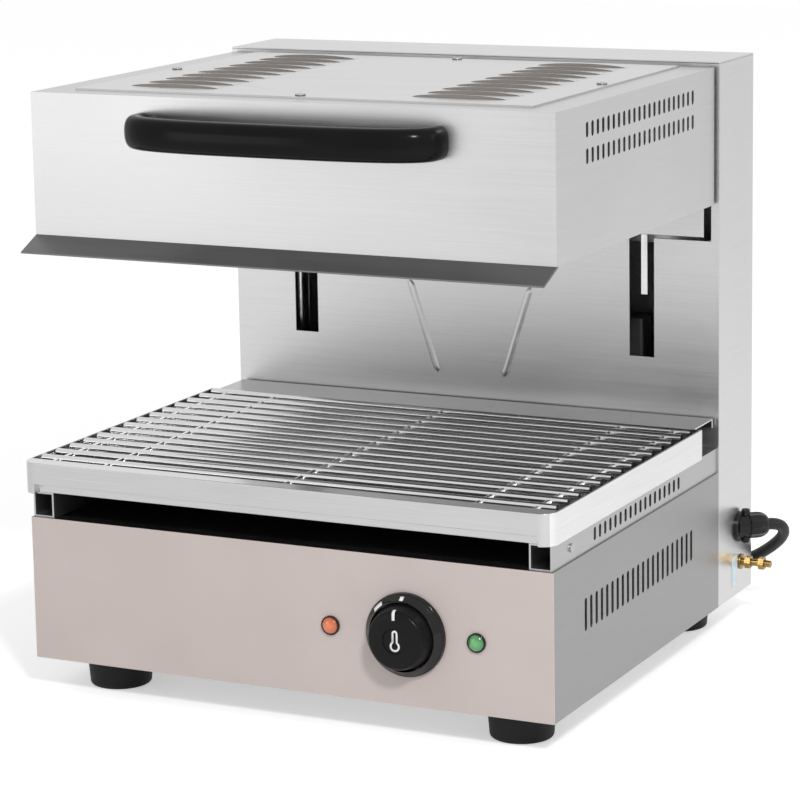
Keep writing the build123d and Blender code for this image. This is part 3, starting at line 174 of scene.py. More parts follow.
coil_start = route[-1] + Vector((-COIL_LEAD, 0, 0))
coil_middle = np.array(coil_start + Vector((0, COIL_R, 0)))
coil = coil_middle + coil_points(np.arange(COIL_TURNS * COIL_STEPS + 1) / COIL_STEPS)
tail = [(coil[-1, 0] - reach, coil_start.y, PLUG_AXIS_Z) for reach in COIL_TAIL]
print("coil points:", len(coil), "across outside:", round(2 * (COIL_R + CORD_R), 3))

# %% The lead as one smooth curve
cord_points = [*route, *[Vector(point) for point in coil], *[Vector(point) for point in tail]]
lead_curve = bpy.data.curves.new("mains_lead_flex", "CURVE")
lead_curve.dimensions = "3D"
spline = lead_curve.splines.new("NURBS")
spline.points.add(len(cord_points) - 1)
spline.points.foreach_set("co", np.array([[*p, 1.0] for p in cord_points]).ravel())
spline.order_u = 3
spline.use_endpoint_u = True
spline.resolution_u = 8
lead_curve.bevel_depth = CORD_R
lead_curve.bevel_resolution = 5
lead_curve.use_fill_caps = True
lead_flex = bpy.data.objects.new("mains_lead_flex", lead_curve)
bpy.context.scene.collection.objects.link(lead_flex)
print("lead control points:", len(cord_points))

# %% [markdown]
# ## Surfaces from numbers
#
# Most new pieces are surfaces over a grid: one parameter runs along the piece and the other
# runs round it. A helper turns such a grid of points into a mesh, joins its edges where the
# grid wraps round, merges the points that meet at a pole, and makes its faces point outwards.

# %% Grid to mesh
SHARP = math.radians(35)


def grid_quads(rows, cols, wrap_rows, wrap_cols):
    """Corner numbers of the quads of a grid; a wrapped side joins its last line to its first."""
    index = np.arange(rows * cols).reshape(rows, cols)
    a = np.arange(rows if wrap_rows else rows - 1)
    b = np.arange(cols if wrap_cols else cols - 1)
    after_a, after_b = (a + 1) % rows, (b + 1) % cols
    corners = [index[a][:, b], index[after_a][:, b], index[after_a][:, after_b], index[a][:, after_b]]
    return np.stack(corners, axis=-1).reshape(-1, 4)


def smooth_shading(mesh, sharp=SHARP):
    """Smooth faces, with a crease where two of them meet at more than the sharp angle."""
    mesh.polygons.foreach_set("use_smooth", np.ones(len(mesh.polygons), bool))
    mesh.set_sharp_from_angle(angle=sharp)


def surface(name, grids, wrap_rows=False, wrap_cols=True):
    """One object from several grids of points[row, column, xyz], merged and facing outwards."""
    points, quads, start = [], [], 0
    for grid in grids:
        rows, cols = grid.shape[:2]
        points.append(grid.reshape(-1, 3))
        quads.append(grid_quads(rows, cols, wrap_rows, wrap_cols) + start)
        start += rows * cols
    mesh = bpy.data.meshes.new(name)
    mesh.from_pydata(np.concatenate(points).tolist(), [], np.concatenate(quads).tolist())
    shape = bmesh.new()
    shape.from_mesh(mesh)
    bmesh.ops.remove_doubles(shape, verts=shape.verts, dist=1e-6)
    bmesh.ops.dissolve_degenerate(shape, edges=shape.edges, dist=1e-7)
    bmesh.ops.recalc_face_normals(shape, faces=shape.faces)
    shape.to_mesh(mesh)
    shape.free()
    smooth_shading(mesh)
    piece = bpy.data.objects.new(name, mesh)
    bpy.context.scene.collection.objects.link(piece)
    print(name, "faces:", len(mesh.polygons))
    return piece


# %% Turned and bent shapes
def frame_of(axis):
    """Two unit vectors square to an axis and to each other."""
    axis = np.array(axis, float)
    helper = np.array([0.0, 0.0, 1.0]) if abs(axis[2]) < 0.9 else np.array([1.0, 0.0, 0.0])
    first = np.cross(helper, axis)
    first /= np.linalg.norm(first)
    return first, np.cross(axis, first)


def turned(profile, centre, axis, steps=64, ripple=None):
    """Profile of (radius, height) pairs turned about an axis: centre + h axis + r (cos, sin)."""
    profile = np.array(profile, float)
    first, second = frame_of(axis)
    angle = np.linspace(0, 2 * math.pi, steps, endpoint=False)
    ring = np.cos(angle)[:, None] * first + np.sin(angle)[:, None] * second
    radius = np.repeat(profile[:, :1], steps, axis=1)
    if ripple is not None:
        radius = radius * ripple(profile[:, 1:2], angle[None, :])
    along = profile[:, 1, None, None] * np.array(axis, float)
    return np.array(centre, float) + along + radius[..., None] * ring


def rounded_corner(middle, radius, start, end, steps=6):
    """Points of an arc in a profile: middle plus radius times (cos, sin) between two angles."""
    angle = np.radians(np.linspace(start, end, steps))
    return np.stack([middle[0] + radius * np.cos(angle), middle[1] + radius * np.sin(angle)], 1)


def swept(path, section, up_vector=(0, 0, 1)):
    """Section of (side, height) pairs carried along a path, square to it, with capped ends."""
    path = np.array(path, float)
    ahead_of = np.gradient(path, axis=0)
    ahead_of /= np.linalg.norm(ahead_of, axis=1)[:, None]
    side = np.cross(ahead_of, np.array(up_vector, float))
    side /= np.linalg.norm(side, axis=1)[:, None]
    rise = np.cross(side, ahead_of)
    section = np.array(section, float)
    body = path[:, None] + section[None, :, :1] * side[:, None] + section[None, :, 1:] * rise[:, None]
    first_cap = np.repeat(path[:1, None], len(section), axis=1)
    last_cap = np.repeat(path[-1:, None], len(section), axis=1)
    return np.concatenate([first_cap, body, last_cap])


def superellipse(half_width, half_height, power, steps):
    """Closed oval |x/w|^n + |y/h|^n = 1, from signed powers of the cosine and the sine."""
    angle = np.linspace(0, 2 * math.pi, steps, endpoint=False)
    cos, sin = np.cos(angle), np.sin(angle)
    x = half_width * np.sign(cos) * np.abs(cos) ** (2 / power)
    y = half_height * np.sign(sin) * np.abs(sin) ** (2 / power)
    return np.stack([x, y], axis=1)


print("helpers ready")

# %% [markdown]
# ## Shared effects
#
# Several finishes need the same two effects. Brushed grain is noise stretched along one
# direction: sheet metal is rubbed along its length, so the streaks run sideways on upright faces
# and left to right on flat ones. Cloud is broad, soft noise for handling marks. Each effect is a
# node group that puts out a value, and every material uses it with its own numbers.

# %% Helper for node trees
def add_node(tree, kind, **settings):
    """New node with its settings; a setting that names an input fills that input."""
    node = tree.nodes.new(kind)
    for name, value in settings.items():
        if hasattr(node, name):
            setattr(node, name, value)
        else:
            node.inputs[name.replace("_", " ")].default_value = value
    return node


def new_group(name, inputs, outputs):
    """Empty shader group with float inputs {name: default} and float outputs."""
    group = bpy.data.node_groups.new(name, "ShaderNodeTree")
    for socket, default in inputs.items():
        made = group.interface.new_socket(socket, in_out="INPUT", socket_type="NodeSocketFloat")
        made.default_value = default
    for socket in outputs:
        group.interface.new_socket(socket, in_out="OUTPUT", socket_type="NodeSocketFloat")
    return group, group.nodes.new("NodeGroupInput"), group.nodes.new("NodeGroupOutput")


# %% Brushed grain
FACING_EDGE = 0.7
GRAIN_SCALES = ((1500.0, 14.0), (420.0, 9.0))


def stretched_noise(group, place, across, along, flat):
    """Noise squeezed across the brushing direction: upwards, or front to back on flat faces."""
    scale = (along, across, along) if flat else (along, along, across)
    mapping = add_node(group, "ShaderNodeMapping", Scale=scale)
    noise = add_node(group, "ShaderNodeTexNoise", Scale=1.0, Detail=3.0, Roughness=0.6)
    group.links.new(place.outputs["Object"], mapping.inputs["Vector"])
    group.links.new(mapping.outputs["Vector"], noise.inputs["Vector"])
    return noise.outputs["Fac"]


GRAIN, grain_in, grain_out = new_group("brushed_grain", {"Broad": 0.4}, ["Streak"])
grain_place = add_node(GRAIN, "ShaderNodeTexCoord")
facing = add_node(GRAIN, "ShaderNodeSeparateXYZ")
flatness = add_node(GRAIN, "ShaderNodeMath", operation="ABSOLUTE")
is_flat = add_node(GRAIN, "ShaderNodeMath", operation="GREATER_THAN")
is_flat.inputs[1].default_value = FACING_EDGE
GRAIN.links.new(grain_place.outputs["Normal"], facing.inputs[0])
GRAIN.links.new(facing.outputs["Z"], flatness.inputs[0])
GRAIN.links.new(flatness.outputs[0], is_flat.inputs[0])
layers = []
for across, along in GRAIN_SCALES:
    pick = add_node(GRAIN, "ShaderNodeMix", data_type="FLOAT")
    GRAIN.links.new(is_flat.outputs[0], pick.inputs[0])
    GRAIN.links.new(stretched_noise(GRAIN, grain_place, across, along, False), pick.inputs[2])
    GRAIN.links.new(stretched_noise(GRAIN, grain_place, across, along, True), pick.inputs[3])
    layers.append(pick.outputs[0])
both = add_node(GRAIN, "ShaderNodeMix", data_type="FLOAT")
GRAIN.links.new(grain_in.outputs["Broad"], both.inputs[0])
GRAIN.links.new(layers[0], both.inputs[2])
GRAIN.links.new(layers[1], both.inputs[3])
GRAIN.links.new(both.outputs[0], grain_out.inputs["Streak"])
print("group:", GRAIN.name)

# %% Cloud and speckle
CLOUD, cloud_in, cloud_out = new_group("cloud", {"Scale": 9.0, "Fine Scale": 900.0}, ["Broad", "Fine"])
cloud_place = add_node(CLOUD, "ShaderNodeTexCoord")
for output, socket in (("Broad", "Scale"), ("Fine", "Fine Scale")):
    noise = add_node(CLOUD, "ShaderNodeTexNoise", Detail=2.0, Roughness=0.5)
    CLOUD.links.new(cloud_place.outputs["Object"], noise.inputs["Vector"])
    CLOUD.links.new(cloud_in.outputs[socket], noise.inputs["Scale"])
    CLOUD.links.new(noise.outputs["Fac"], cloud_out.inputs[output])
print("group:", CLOUD.name)


# %% Material builder
def use_group(material, group, **values):
    """Group node placed in a material, with its own input values."""
    node = material.node_tree.nodes.new("ShaderNodeGroup")
    node.node_tree = group
    for name, value in values.items():
        node.inputs[name.replace("_", " ")].default_value = value
    return node


NOISE_LOW, NOISE_HIGH = 0.3, 0.7


def spread(material, value, low, high):
    """Value that runs from low to high as the noise runs over its useful middle range."""
    ramp = add_node(material.node_tree, "ShaderNodeMapRange")
    ramp.inputs["From Min"].default_value = NOISE_LOW
    ramp.inputs["From Max"].default_value = NOISE_HIGH
    ramp.inputs["To Min"].default_value = low
    ramp.inputs["To Max"].default_value = high
    material.node_tree.links.new(value, ramp.inputs["Value"])
    return ramp.outputs["Result"]


def two_colours(material, value, dark, light):
    """Colour between dark and light, by the noise over its useful middle range."""
    mix = add_node(material.node_tree, "ShaderNodeMix", data_type="RGBA")
    material.node_tree.links.new(spread(material, value, 0.0, 1.0), mix.inputs[0])
    mix.inputs[6].default_value = (*dark, 1)
    mix.inputs[7].default_value = (*light, 1)
    return mix.outputs[2]


def bump(material, value, depth, strength=1.0):
    """Normal from a height value; depth is the real height in metres."""
    node = add_node(material.node_tree, "ShaderNodeBump")
    node.inputs["Strength"].default_value = strength
    node.inputs["Distance"].default_value = depth
    material.node_tree.links.new(value, node.inputs["Height"])
    return node.outputs["Normal"]


def finish(name, **sockets):
    """New material and its shader, whose named sockets get these plain values."""
    material = bpy.data.materials.new(name)
    material.use_nodes = True
    shader = material.node_tree.nodes["Principled BSDF"]
    for socket, value in sockets.items():
        shader.inputs[socket.replace("_", " ")].default_value = value
    return material, shader


def wire(material, shader, **links):
    """Links outputs to the shader's sockets."""
    for socket, output in links.items():
        material.node_tree.links.new(output, shader.inputs[socket.replace("_", " ")])
    return material


# %% [markdown]
# ## Steel
#
# The cabinet is brushed stainless steel. Its look is mostly reflection, so the colour varies
# little and the roughness varies with the streaks. The tray, the grid and the guide rods are
# brighter, and the small plated parts are duller. One function makes them all.

# %% Brushed and bright steel
CLOUD_BLUR = 0.03
CLOUD_SHADE = 0.94


def grey(level):
    """Neutral colour of one level."""
    return (level, level, level)


def steel(name, dark, light, rough, streak=0.4, depth=2e-5, cloud_scale=7.0, anisotropic=0.3):
    """Metal whose roughness and colour follow the brushing streaks and a broad cloud."""
    material, shader = finish(name, Metallic=1.0, Anisotropic=anisotropic)
    grain = use_group(material, GRAIN, Broad=streak).outputs["Streak"]
    cloud = use_group(material, CLOUD, Scale=cloud_scale).outputs["Broad"]
    blur = add_node(material.node_tree, "ShaderNodeMath", operation="ADD")
    material.node_tree.links.new(spread(material, grain, rough[0], rough[1]), blur.inputs[0])
    material.node_tree.links.new(spread(material, cloud, -CLOUD_BLUR, CLOUD_BLUR), blur.inputs[1])
    tint = add_node(material.node_tree, "ShaderNodeMix", data_type="RGBA", blend_type="MULTIPLY")
    tint.inputs[0].default_value = 1.0
    material.node_tree.links.new(two_colours(material, grain, dark, light), tint.inputs[6])
    soft = two_colours(material, cloud, grey(CLOUD_SHADE), grey(1.0))
    material.node_tree.links.new(soft, tint.inputs[7])
    return wire(
        material,
        shader,
        Base_Color=tint.outputs[2],
        Roughness=blur.outputs[0],
        Normal=bump(material, grain, depth),
    )


brushed = steel("brushed_stainless", grey(0.56), grey(0.63), (0.29, 0.37), streak=0.3, depth=1e-5)
# painted shade: the head's casing is the cover's steel painted a little darker, for its shaded sides and
# front
casing_sheet_painted_shade = steel("casing_stainless_painted_shade", grey(0.50), grey(0.56), (0.29, 0.37), streak=0.3, depth=1e-5)
# painted reflection: the base's sides and the rails are the same steel painted darker, for the dark
# things they reflect
side_sheet_painted_dark = steel("side_stainless_painted_dark", grey(0.27), grey(0.32), (0.33, 0.42), streak=0.3, depth=1e-5)
rail_sheet_painted_dark = steel("rail_stainless_painted_dark", grey(0.37), grey(0.43), (0.30, 0.38), streak=0.3, depth=1e-5)
# painted reflection: the column's front plate is the same steel painted a little darker, for the grid,
# tray and head it reflects
column_sheet_painted_dark = steel("column_stainless_painted_dark", grey(0.52), grey(0.61), (0.32, 0.42), streak=0.45, depth=2e-5)
bright = steel("bright_stainless", grey(0.62), grey(0.72), (0.18, 0.26), streak=0.3, depth=1e-5)
tray_sheet = steel("tray_stainless", grey(0.62), grey(0.72), (0.18, 0.26), streak=0.3, depth=1e-5)
# painted highlight: the cross rods' steel is painted much lighter than the grid's wire
rod_steel_painted_bright = steel("rod_steel_painted_bright", grey(0.86), grey(0.93), (0.10, 0.16), depth=1e-5, anisotropic=0.0)
# painted shade: the louvres' mouths are painted a dark warm grey, for the shade inside their openings
mouth_shade_paint = steel(
    "louvre_mouth", (0.25, 0.23, 0.215), (0.33, 0.30, 0.285), (0.4, 0.5), anisotropic=0.0
)
grid_wire = steel("grid_wire", grey(0.56), grey(0.78), (0.10, 0.20), depth=1e-5, anisotropic=0.0)
lip_sheet = steel("lip_steel", grey(0.15), grey(0.19), (0.34, 0.44), streak=0.3)
# painted reflection: the cover's screw heads are the same steel painted dark, for the dark things they
# reflect
screw_painted_dark = steel("screw_painted_dark", grey(0.10), grey(0.18), (0.20, 0.32), depth=1e-5)
screw_steel = steel("screw_steel", grey(0.38), grey(0.52), (0.25, 0.40), depth=1e-5)
zinc = steel("zinc_steel", (0.42, 0.43, 0.45), (0.55, 0.56, 0.58), (0.34, 0.50), cloud_scale=40.0)
iron = steel("weight_iron", grey(0.10), grey(0.14), (0.55, 0.70), depth=8e-5, anisotropic=0.0)
sheath = steel("element_sheath", (0.09, 0.085, 0.08), (0.16, 0.15, 0.14), (0.40, 0.60))
rope_steel = steel("rope_steel", grey(0.40), grey(0.58), (0.30, 0.42), anisotropic=0.0)
brass = steel("stud_brass", (0.30, 0.19, 0.06), (0.43, 0.29, 0.11), (0.30, 0.42), depth=1e-5)
bronze = steel("bushing_bronze", (0.36, 0.24, 0.12), (0.46, 0.31, 0.17), (0.40, 0.55), depth=4e-5)
print("materials so far:", len(bpy.data.materials))

# %% [markdown]
# ## Paint, plastic and rubber
#
# The control panel is painted a warm grey, and the deck behind the tray is flat black. Handle
# and knob are black plastic: the handle is glossy, the knob's face is satin. All of them have
# a fine texture in their normal and a broad change in roughness, with their own values.


# %% Painted and moulded finishes
def coated(name, dark, light, rough, depth, fine, coat=0.0, shine=0.5, scale=14.0):
    """Non-metal skin: soft colour change, roughness change, fine bump, and a clear coat."""
    material, shader = finish(name, Coat_Weight=coat, Coat_Roughness=0.05, Specular_IOR_Level=shine)
    noise = use_group(material, CLOUD, Scale=scale, Fine_Scale=fine)
    return wire(
        material,
        shader,
        Base_Color=two_colours(material, noise.outputs["Broad"], dark, light),
        Roughness=spread(material, noise.outputs["Broad"], rough[0], rough[1]),
        Normal=bump(material, noise.outputs["Fine"], depth),
    )


PANEL_DARK, PANEL_LIGHT = (0.492, 0.425, 0.404), (0.520, 0.452, 0.431)
panel_paint = coated("panel_paint", PANEL_DARK, PANEL_LIGHT, (0.34, 0.42), 6e-6, 1400.0, 0.1)
deck_paint = coated("deck_paint", grey(0.004), grey(0.007), (0.55, 0.70), 2e-5, 1200.0, shine=0.1)
gloss_black = coated("gloss_black", grey(0.004), grey(0.006), (0.12, 0.18), 3e-6, 900.0, shine=0.08)
ring_black = coated("ring_black", grey(0.006), grey(0.009), (0.10, 0.15), 2e-6, 900.0, shine=0.28)
satin_black = coated("satin_black", grey(0.007), grey(0.011), (0.26, 0.34), 8e-6, 2200.0, shine=0.10)
body_black = coated("body_black", grey(0.010), grey(0.015), (0.40, 0.52), 2e-5, 1500.0, shine=0.3)
gland_black = coated("gland_black", grey(0.006), grey(0.010), (0.20, 0.30), 1e-5, 1300.0, shine=0.25)
rubber = coated("foot_rubber", grey(0.008), grey(0.014), (0.50, 0.66), 4e-5, 1100.0, shine=0.2)
cord_rubber = coated("cord_rubber", grey(0.008), grey(0.013), (0.34, 0.46), 1.5e-5, 1600.0, shine=0.3)
off_white = coated("off_white", (0.66, 0.65, 0.61), (0.76, 0.75, 0.71), (0.40, 0.50), 1e-5, 1300.0)
mark_white = coated("mark_white", grey(0.78), grey(0.84), (0.40, 0.48), 4e-6, 1500.0)
blank_blue = coated("blank_blue", (0.60, 0.71, 0.78), (0.70, 0.80, 0.86), (0.26, 0.36), 4e-6, 900.0)
fibre = coated(
    "fibre_board", (0.66, 0.63, 0.56), (0.80, 0.77, 0.70), (0.85, 0.95), 3e-4, 420.0, scale=30.0
)


# %% Painted shade on faces that differ from the rest of their piece
def paint_shade_where(material, tint, *tests):
    """Painted shade: multiplies the colour by a tint where every test holds.

    A test names a texture coordinate, its axis, a sign and an edge: the signed value along the
    axis has to be above the edge.
    """
    tree = material.node_tree
    shader = tree.nodes["Principled BSDF"]
    plain = shader.inputs["Base Color"].links[0].from_socket
    where = add_node(tree, "ShaderNodeTexCoord")
    mask = None
    for coordinate, axis, sign, edge in tests:
        parts = add_node(tree, "ShaderNodeSeparateXYZ")
        signed = add_node(tree, "ShaderNodeMath", operation="MULTIPLY")
        signed.inputs[1].default_value = sign
        above = add_node(tree, "ShaderNodeMath", operation="GREATER_THAN")
        above.inputs[1].default_value = edge
        tree.links.new(where.outputs[coordinate], parts.inputs[0])
        tree.links.new(parts.outputs[axis], signed.inputs[0])
        tree.links.new(signed.outputs[0], above.inputs[0])
        if mask is None:
            mask = above.outputs[0]
            continue
        both = add_node(tree, "ShaderNodeMath", operation="MULTIPLY")
        tree.links.new(mask, both.inputs[0])
        tree.links.new(above.outputs[0], both.inputs[1])
        mask = both.outputs[0]
    mix = add_node(tree, "ShaderNodeMix", data_type="RGBA", blend_type="MULTIPLY")
    mix.inputs[7].default_value = (*tint, 1)
    tree.links.new(mask, mix.inputs[0])
    tree.links.new(plain, mix.inputs[6])
    tree.links.new(mix.outputs[2], shader.inputs["Base Color"])


# painted shade: the panel's top fold, deep in shade under the tray, is painted nearly black; the tray's
# front is painted duller than its sides, and so is its pan behind the nose, as painted reflection of the
# darker things around them
NOSE_REAR = 0.010 - CABINET_ORIGIN.y
FACES_UP = ("Normal", "Z", 1, FACING_EDGE)
FACES_FRONT = ("Normal", "Y", -1, FACING_EDGE)
paint_shade_where(panel_paint, grey(0.012), FACES_UP)
# painted reflection: the tray's front and its pan are painted duller, for the dark head and surroundings
# they reflect
paint_shade_where(tray_sheet, grey(0.70), FACES_FRONT)
paint_shade_where(tray_sheet, grey(0.55), FACES_UP, ("Object", "Y", 1, NOSE_REAR))
print("materials:", len(bpy.data.materials))

# %% [markdown]
# ## Sheet metal with folded edges
#
# A folded sheet never has a knife edge: its corners are small rounds that catch the light, and
# that bright line is what tells the eye that it looks at metal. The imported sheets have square
# corners, and their triangles are not joined. So each sheet that shows is copied, its points
# are merged, and a bevel of half a millimetre or so rounds every edge over thirty degrees.

# %% Beads and hoods that make way for formed ones
SHEET_T = 0.0015
FLAT_GAP = 0.00004


def flatten(node, shape):
    """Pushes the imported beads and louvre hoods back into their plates; formed ones go there."""
    if node == "column_front":
        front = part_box("column_shell")[0].y - SHEET_T
        for vertex in shape.verts:
            vertex.co.y = max(vertex.co.y, front)
    if node == "head_cover":
        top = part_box("head_casing")[1].z + SHEET_T
        for vertex in shape.verts:
            vertex.co.z = min(vertex.co.z, top + FLAT_GAP)


# %% Copies of sheets with rounded edges
BEVEL_ANGLE = math.radians(30)
LEVEL_ANGLE = math.radians(0.5)
SLOT_OF = {entry["node"]: entry["material_slot"] for entry in frame["record"]["subparts"]}


def folded_copy(node, material, radius):
    """Merged copy of a node with rounded edges, on the same body."""
    source = NODES[node]
    mesh = source.data.copy()
    mesh.materials.clear()
    mesh.materials.append(material)
    shape = bmesh.new()
    shape.from_mesh(mesh)
    bmesh.ops.remove_doubles(shape, verts=shape.verts, dist=2e-6)
    flatten(node, shape)
    bmesh.ops.dissolve_limit(shape, angle_limit=LEVEL_ANGLE, verts=shape.verts, edges=shape.edges)
    shape.to_mesh(mesh)
    shape.free()
    smooth_shading(mesh)
    piece = bpy.data.objects.new(node + "_sheet", mesh)
    bpy.context.scene.collection.objects.link(piece)
    bevel = piece.modifiers.new("rounded_edges", "BEVEL")
    bevel.width = radius
    bevel.segments = 2
    bevel.limit_method = "ANGLE"
    bevel.angle_limit = BEVEL_ANGLE
    bevel.harden_normals = True
    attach(piece, source["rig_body"])
    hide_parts(node)
    return piece


SHEETS = {
    "base_tub": (side_sheet_painted_dark, 0.0007),
    "front_panel": (panel_paint, 0.0006),
    "rail_left": (rail_sheet_painted_dark, 0.0004),
    "rail_right": (rail_sheet_painted_dark, 0.0004),
    "grill_tray": (tray_sheet, 0.0006),
    "column_shell": (brushed, 0.0006),
    "column_front": (column_sheet_painted_dark, 0.0005),
    "column_cap": (brushed, 0.0006),
    "back_panel": (brushed, 0.0004),
    "head_casing": (casing_sheet_painted_shade, 0.0008),
    "head_cover": (brushed, 0.0003),
    "head_lip": (lip_sheet, 0.0005),
    "head_back_plate": (column_sheet_painted_dark, 0.0004),
    "lift_arms": (bright, 0.0006),
    "carriage": (zinc, 0.0006),
    "cross_bars": (zinc, 0.0006),
    "counterweight": (iron, 0.0015),
    "earth_stud": (brass, 0.0004),
    "earth_nuts": (brass, 0.0006),
    "regulator_body": (body_black, 0.0008),
    "terminal_block": (off_white, 0.0008),
}
for node, (material, radius) in SHEETS.items():
    folded_copy(node, material, radius)
print("sheets with rounded edges:", len(SHEETS))

# %% [markdown]
# ## Nodes that keep their own mesh
#
# Round wires, flat plates and hidden parts already have the right shape. They only get their
# finish, by putting the material into the object's first slot.

# %% Finishes for the remaining nodes
PLAIN_NODES = {
    "grill_grid": grid_wire,
    "base_deck": deck_paint,
    "blank_plate": blank_blue,
    "guide_rods": bright,
    "bushings": bronze,
    "pulley_brackets": zinc,
    "pulley_axles": screw_steel,
    "pulley_left": off_white,
    "pulley_right": off_white,
    "cable_wraps": rope_steel,
    "reflector": bright,
    "insulation": fibre,
    "heating_elements": sheath,
    "element_supports": zinc,
    "control_shaft": screw_steel,
    "lamp_bodies": body_black,
    "foot_screws": screw_steel,
    "rail_screws": screw_steel,
    "back_screws": screw_steel,
    "cover_screws": screw_steel,
    "handle_screws": screw_steel,
}
for node, material in PLAIN_NODES.items():
    NODES[node].data.materials.clear()
    NODES[node].data.materials.append(material)
print("nodes with their own mesh:", len(PLAIN_NODES))


# %% Hand-over of a finished piece
def hand_over(piece, body, slot, material, *replaced):
    """Material, body and replaced nodes of a finished piece; the slot is not used."""
    piece.data.materials.clear()
    piece.data.materials.append(material)
    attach(piece, body)
    if replaced:
        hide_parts(*replaced)
    return piece


# %% [markdown]
# ## Handle
#
# The handle is a thick bow of black plastic that springs out of the head's face at both ends
# and bulges in the middle. Its middle line is a squarish half oval: across over its half width
# to the power 3.2, plus depth over its reach to the same power, is one. Its section is a flat
# oval. Sweeping the one along the other gives one unbroken skin.

# %% Bow handle
handle_low, handle_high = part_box("handle")
HANDLE_POWER = 3.2
HANDLE_SECTION_POWER = 2.6
HANDLE_T = 0.017
HANDLE_SHIFT = Vector((0.003, 0, -0.002))
HANDLE_WIDER = 0.003
HANDLE_SLIMMER = 0.0015
BOW_POINTS = 97
handle_half = (handle_high.x - handle_low.x) / 2 + HANDLE_WIDER
handle_height = handle_high.z - handle_low.z - HANDLE_SLIMMER
handle_centre = (handle_low + handle_high) / 2 + HANDLE_SHIFT
bow_half = handle_half - HANDLE_T / 2
bow_reach = handle_high.y - handle_low.y - HANDLE_T / 2
sweep_angle = np.linspace(0, math.pi, BOW_POINTS)
bow_x = bow_half * np.sign(np.cos(sweep_angle)) * np.abs(np.cos(sweep_angle)) ** (2 / HANDLE_POWER)
bow_y = bow_reach * np.abs(np.sin(sweep_angle)) ** (2 / HANDLE_POWER)
bow = np.stack(
    [handle_centre.x + bow_x, handle_high.y - bow_y, np.full_like(bow_x, handle_centre.z)], axis=1
)
step_lengths = np.linalg.norm(np.diff(bow, axis=0), axis=1)
bow_length = np.concatenate([[0], np.cumsum(step_lengths)])
even = np.linspace(0, bow_length[-1], BOW_POINTS)
bow = np.stack([np.interp(even, bow_length, bow[:, i]) for i in range(3)], axis=1)
handle_section = superellipse(HANDLE_T / 2, handle_height / 2, HANDLE_SECTION_POWER, 40)
bow_handle = surface("bow_handle", [swept(bow, handle_section)])
hand_over(bow_handle, "head", "gloss_black", gloss_black, "handle")
print("handle length along the bow:", round(bow_length[-1], 3))

# %% [markdown]
# ## Temperature knob
#
# The knob stands in a fixed flared ring. Ring and knob are turned shapes: a profile of radius
# against height, carried round the knob's axis. Two white marks lie on the ring's flare, one
# pointer mark runs over the knob's front edge, and a thermometer sign sits in the middle. The
# marks are thin raised strips that follow the surface below them.

# %% Ring and knob as turned shapes
knob_low, knob_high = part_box("knob")
ring_low, ring_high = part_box("dial_ring")
KNOB_AXIS = np.array([0.0, -1.0, 0.0])
knob_middle = np.array([(knob_low.x + knob_high.x) / 2, ring_high.y, (knob_low.z + knob_high.z) / 2])
RING_R = (ring_high.x - ring_low.x) / 2
RING_RIM_H = 0.0042
RING_EDGE_R = 0.0008
RING_STEP = 0.0010
RING_INNER_R = 0.0270
RING_TOP_H = 0.0108
FLARE_FOOT_H = RING_RIM_H + 0.0006
FLARE_RISE = RING_TOP_H - RING_RIM_H - 0.0012
FLARE_POWER = 1.25
KNOB_H = ring_high.y - knob_low.y
KNOB_R = (knob_high.x - knob_low.x) / 2
KNOB_SKIRT_R = KNOB_R - 0.0002
KNOB_GAP = 0.0003
KNOB_EDGE_R = 0.0034
KNOB_FRONT_R = 0.0232
RECESS_H = 0.0014
RECESS_R = 0.0096


def flare_radius(share):
    """Radius of the ring's flare: bore plus its width times (1 - share) to the power 1.25."""
    return RING_INNER_R + (RING_R - RING_STEP - RING_INNER_R) * (1 - share) ** FLARE_POWER


flare_share = np.linspace(0, 1, 12)
flare = np.stack([flare_radius(flare_share), FLARE_FOOT_H + FLARE_RISE * flare_share], 1)
ring_profile = np.concatenate(
    [
        [(RING_INNER_R, 0.0), (RING_R, 0.0), (RING_R, RING_RIM_H - RING_EDGE_R)],
        rounded_corner((RING_R - RING_EDGE_R, RING_RIM_H - RING_EDGE_R), RING_EDGE_R, 0, 90),
        flare,
        [(RING_INNER_R, RING_TOP_H - 0.0012), (RING_INNER_R, 0.0)],
    ]
)
dial = surface("flared_ring", [turned(ring_profile, knob_middle, KNOB_AXIS, 96)])
hand_over(dial, "base", "black_plastic", ring_black, "dial_ring")

knob_profile = np.concatenate(
    [
        [(0.0, KNOB_GAP), (KNOB_SKIRT_R, KNOB_GAP), (KNOB_SKIRT_R, 0.004)],
        [(KNOB_R - 0.0006, 0.009), (KNOB_R - 0.0018, 0.0116), (KNOB_FRONT_R, KNOB_H - 0.005)],
        rounded_corner((KNOB_FRONT_R - KNOB_EDGE_R, KNOB_H - KNOB_EDGE_R - 0.0008), KNOB_EDGE_R, 10, 80),
        [(0.014, KNOB_H - 0.00045), (0.0100, KNOB_H - 0.0003), (RECESS_R, KNOB_H - RECESS_H)],
        [(0.0, KNOB_H - RECESS_H)],
    ]
)
knob_piece = surface("turned_knob", [turned(knob_profile, knob_middle, KNOB_AXIS, 96)])
hand_over(knob_piece, "knob", "black_plastic", satin_black, "knob")


# %% Raised marks
MARK_LIFT = 0.00012


def ribbon(name, lines, half_width, onto, thickness):
    """Strips of even width along flat paths; onto maps their flat points to the surface."""
    grids = []
    for line in lines:
        line = np.array(line, float)
        along = np.gradient(line, axis=0)
        along /= np.linalg.norm(along, axis=1)[:, None]
        out = np.stack([-along[:, 1], along[:, 0]], axis=1) * half_width
        edges = np.stack([line - out, line + out], axis=1)
        grids.append(onto(edges.reshape(-1, 2)).reshape(len(line), 2, 3))
    piece = surface(name, grids, wrap_cols=False)
    solid = piece.modifiers.new("thickness", "SOLIDIFY")
    solid.thickness = thickness
    solid.offset = 0
    return piece


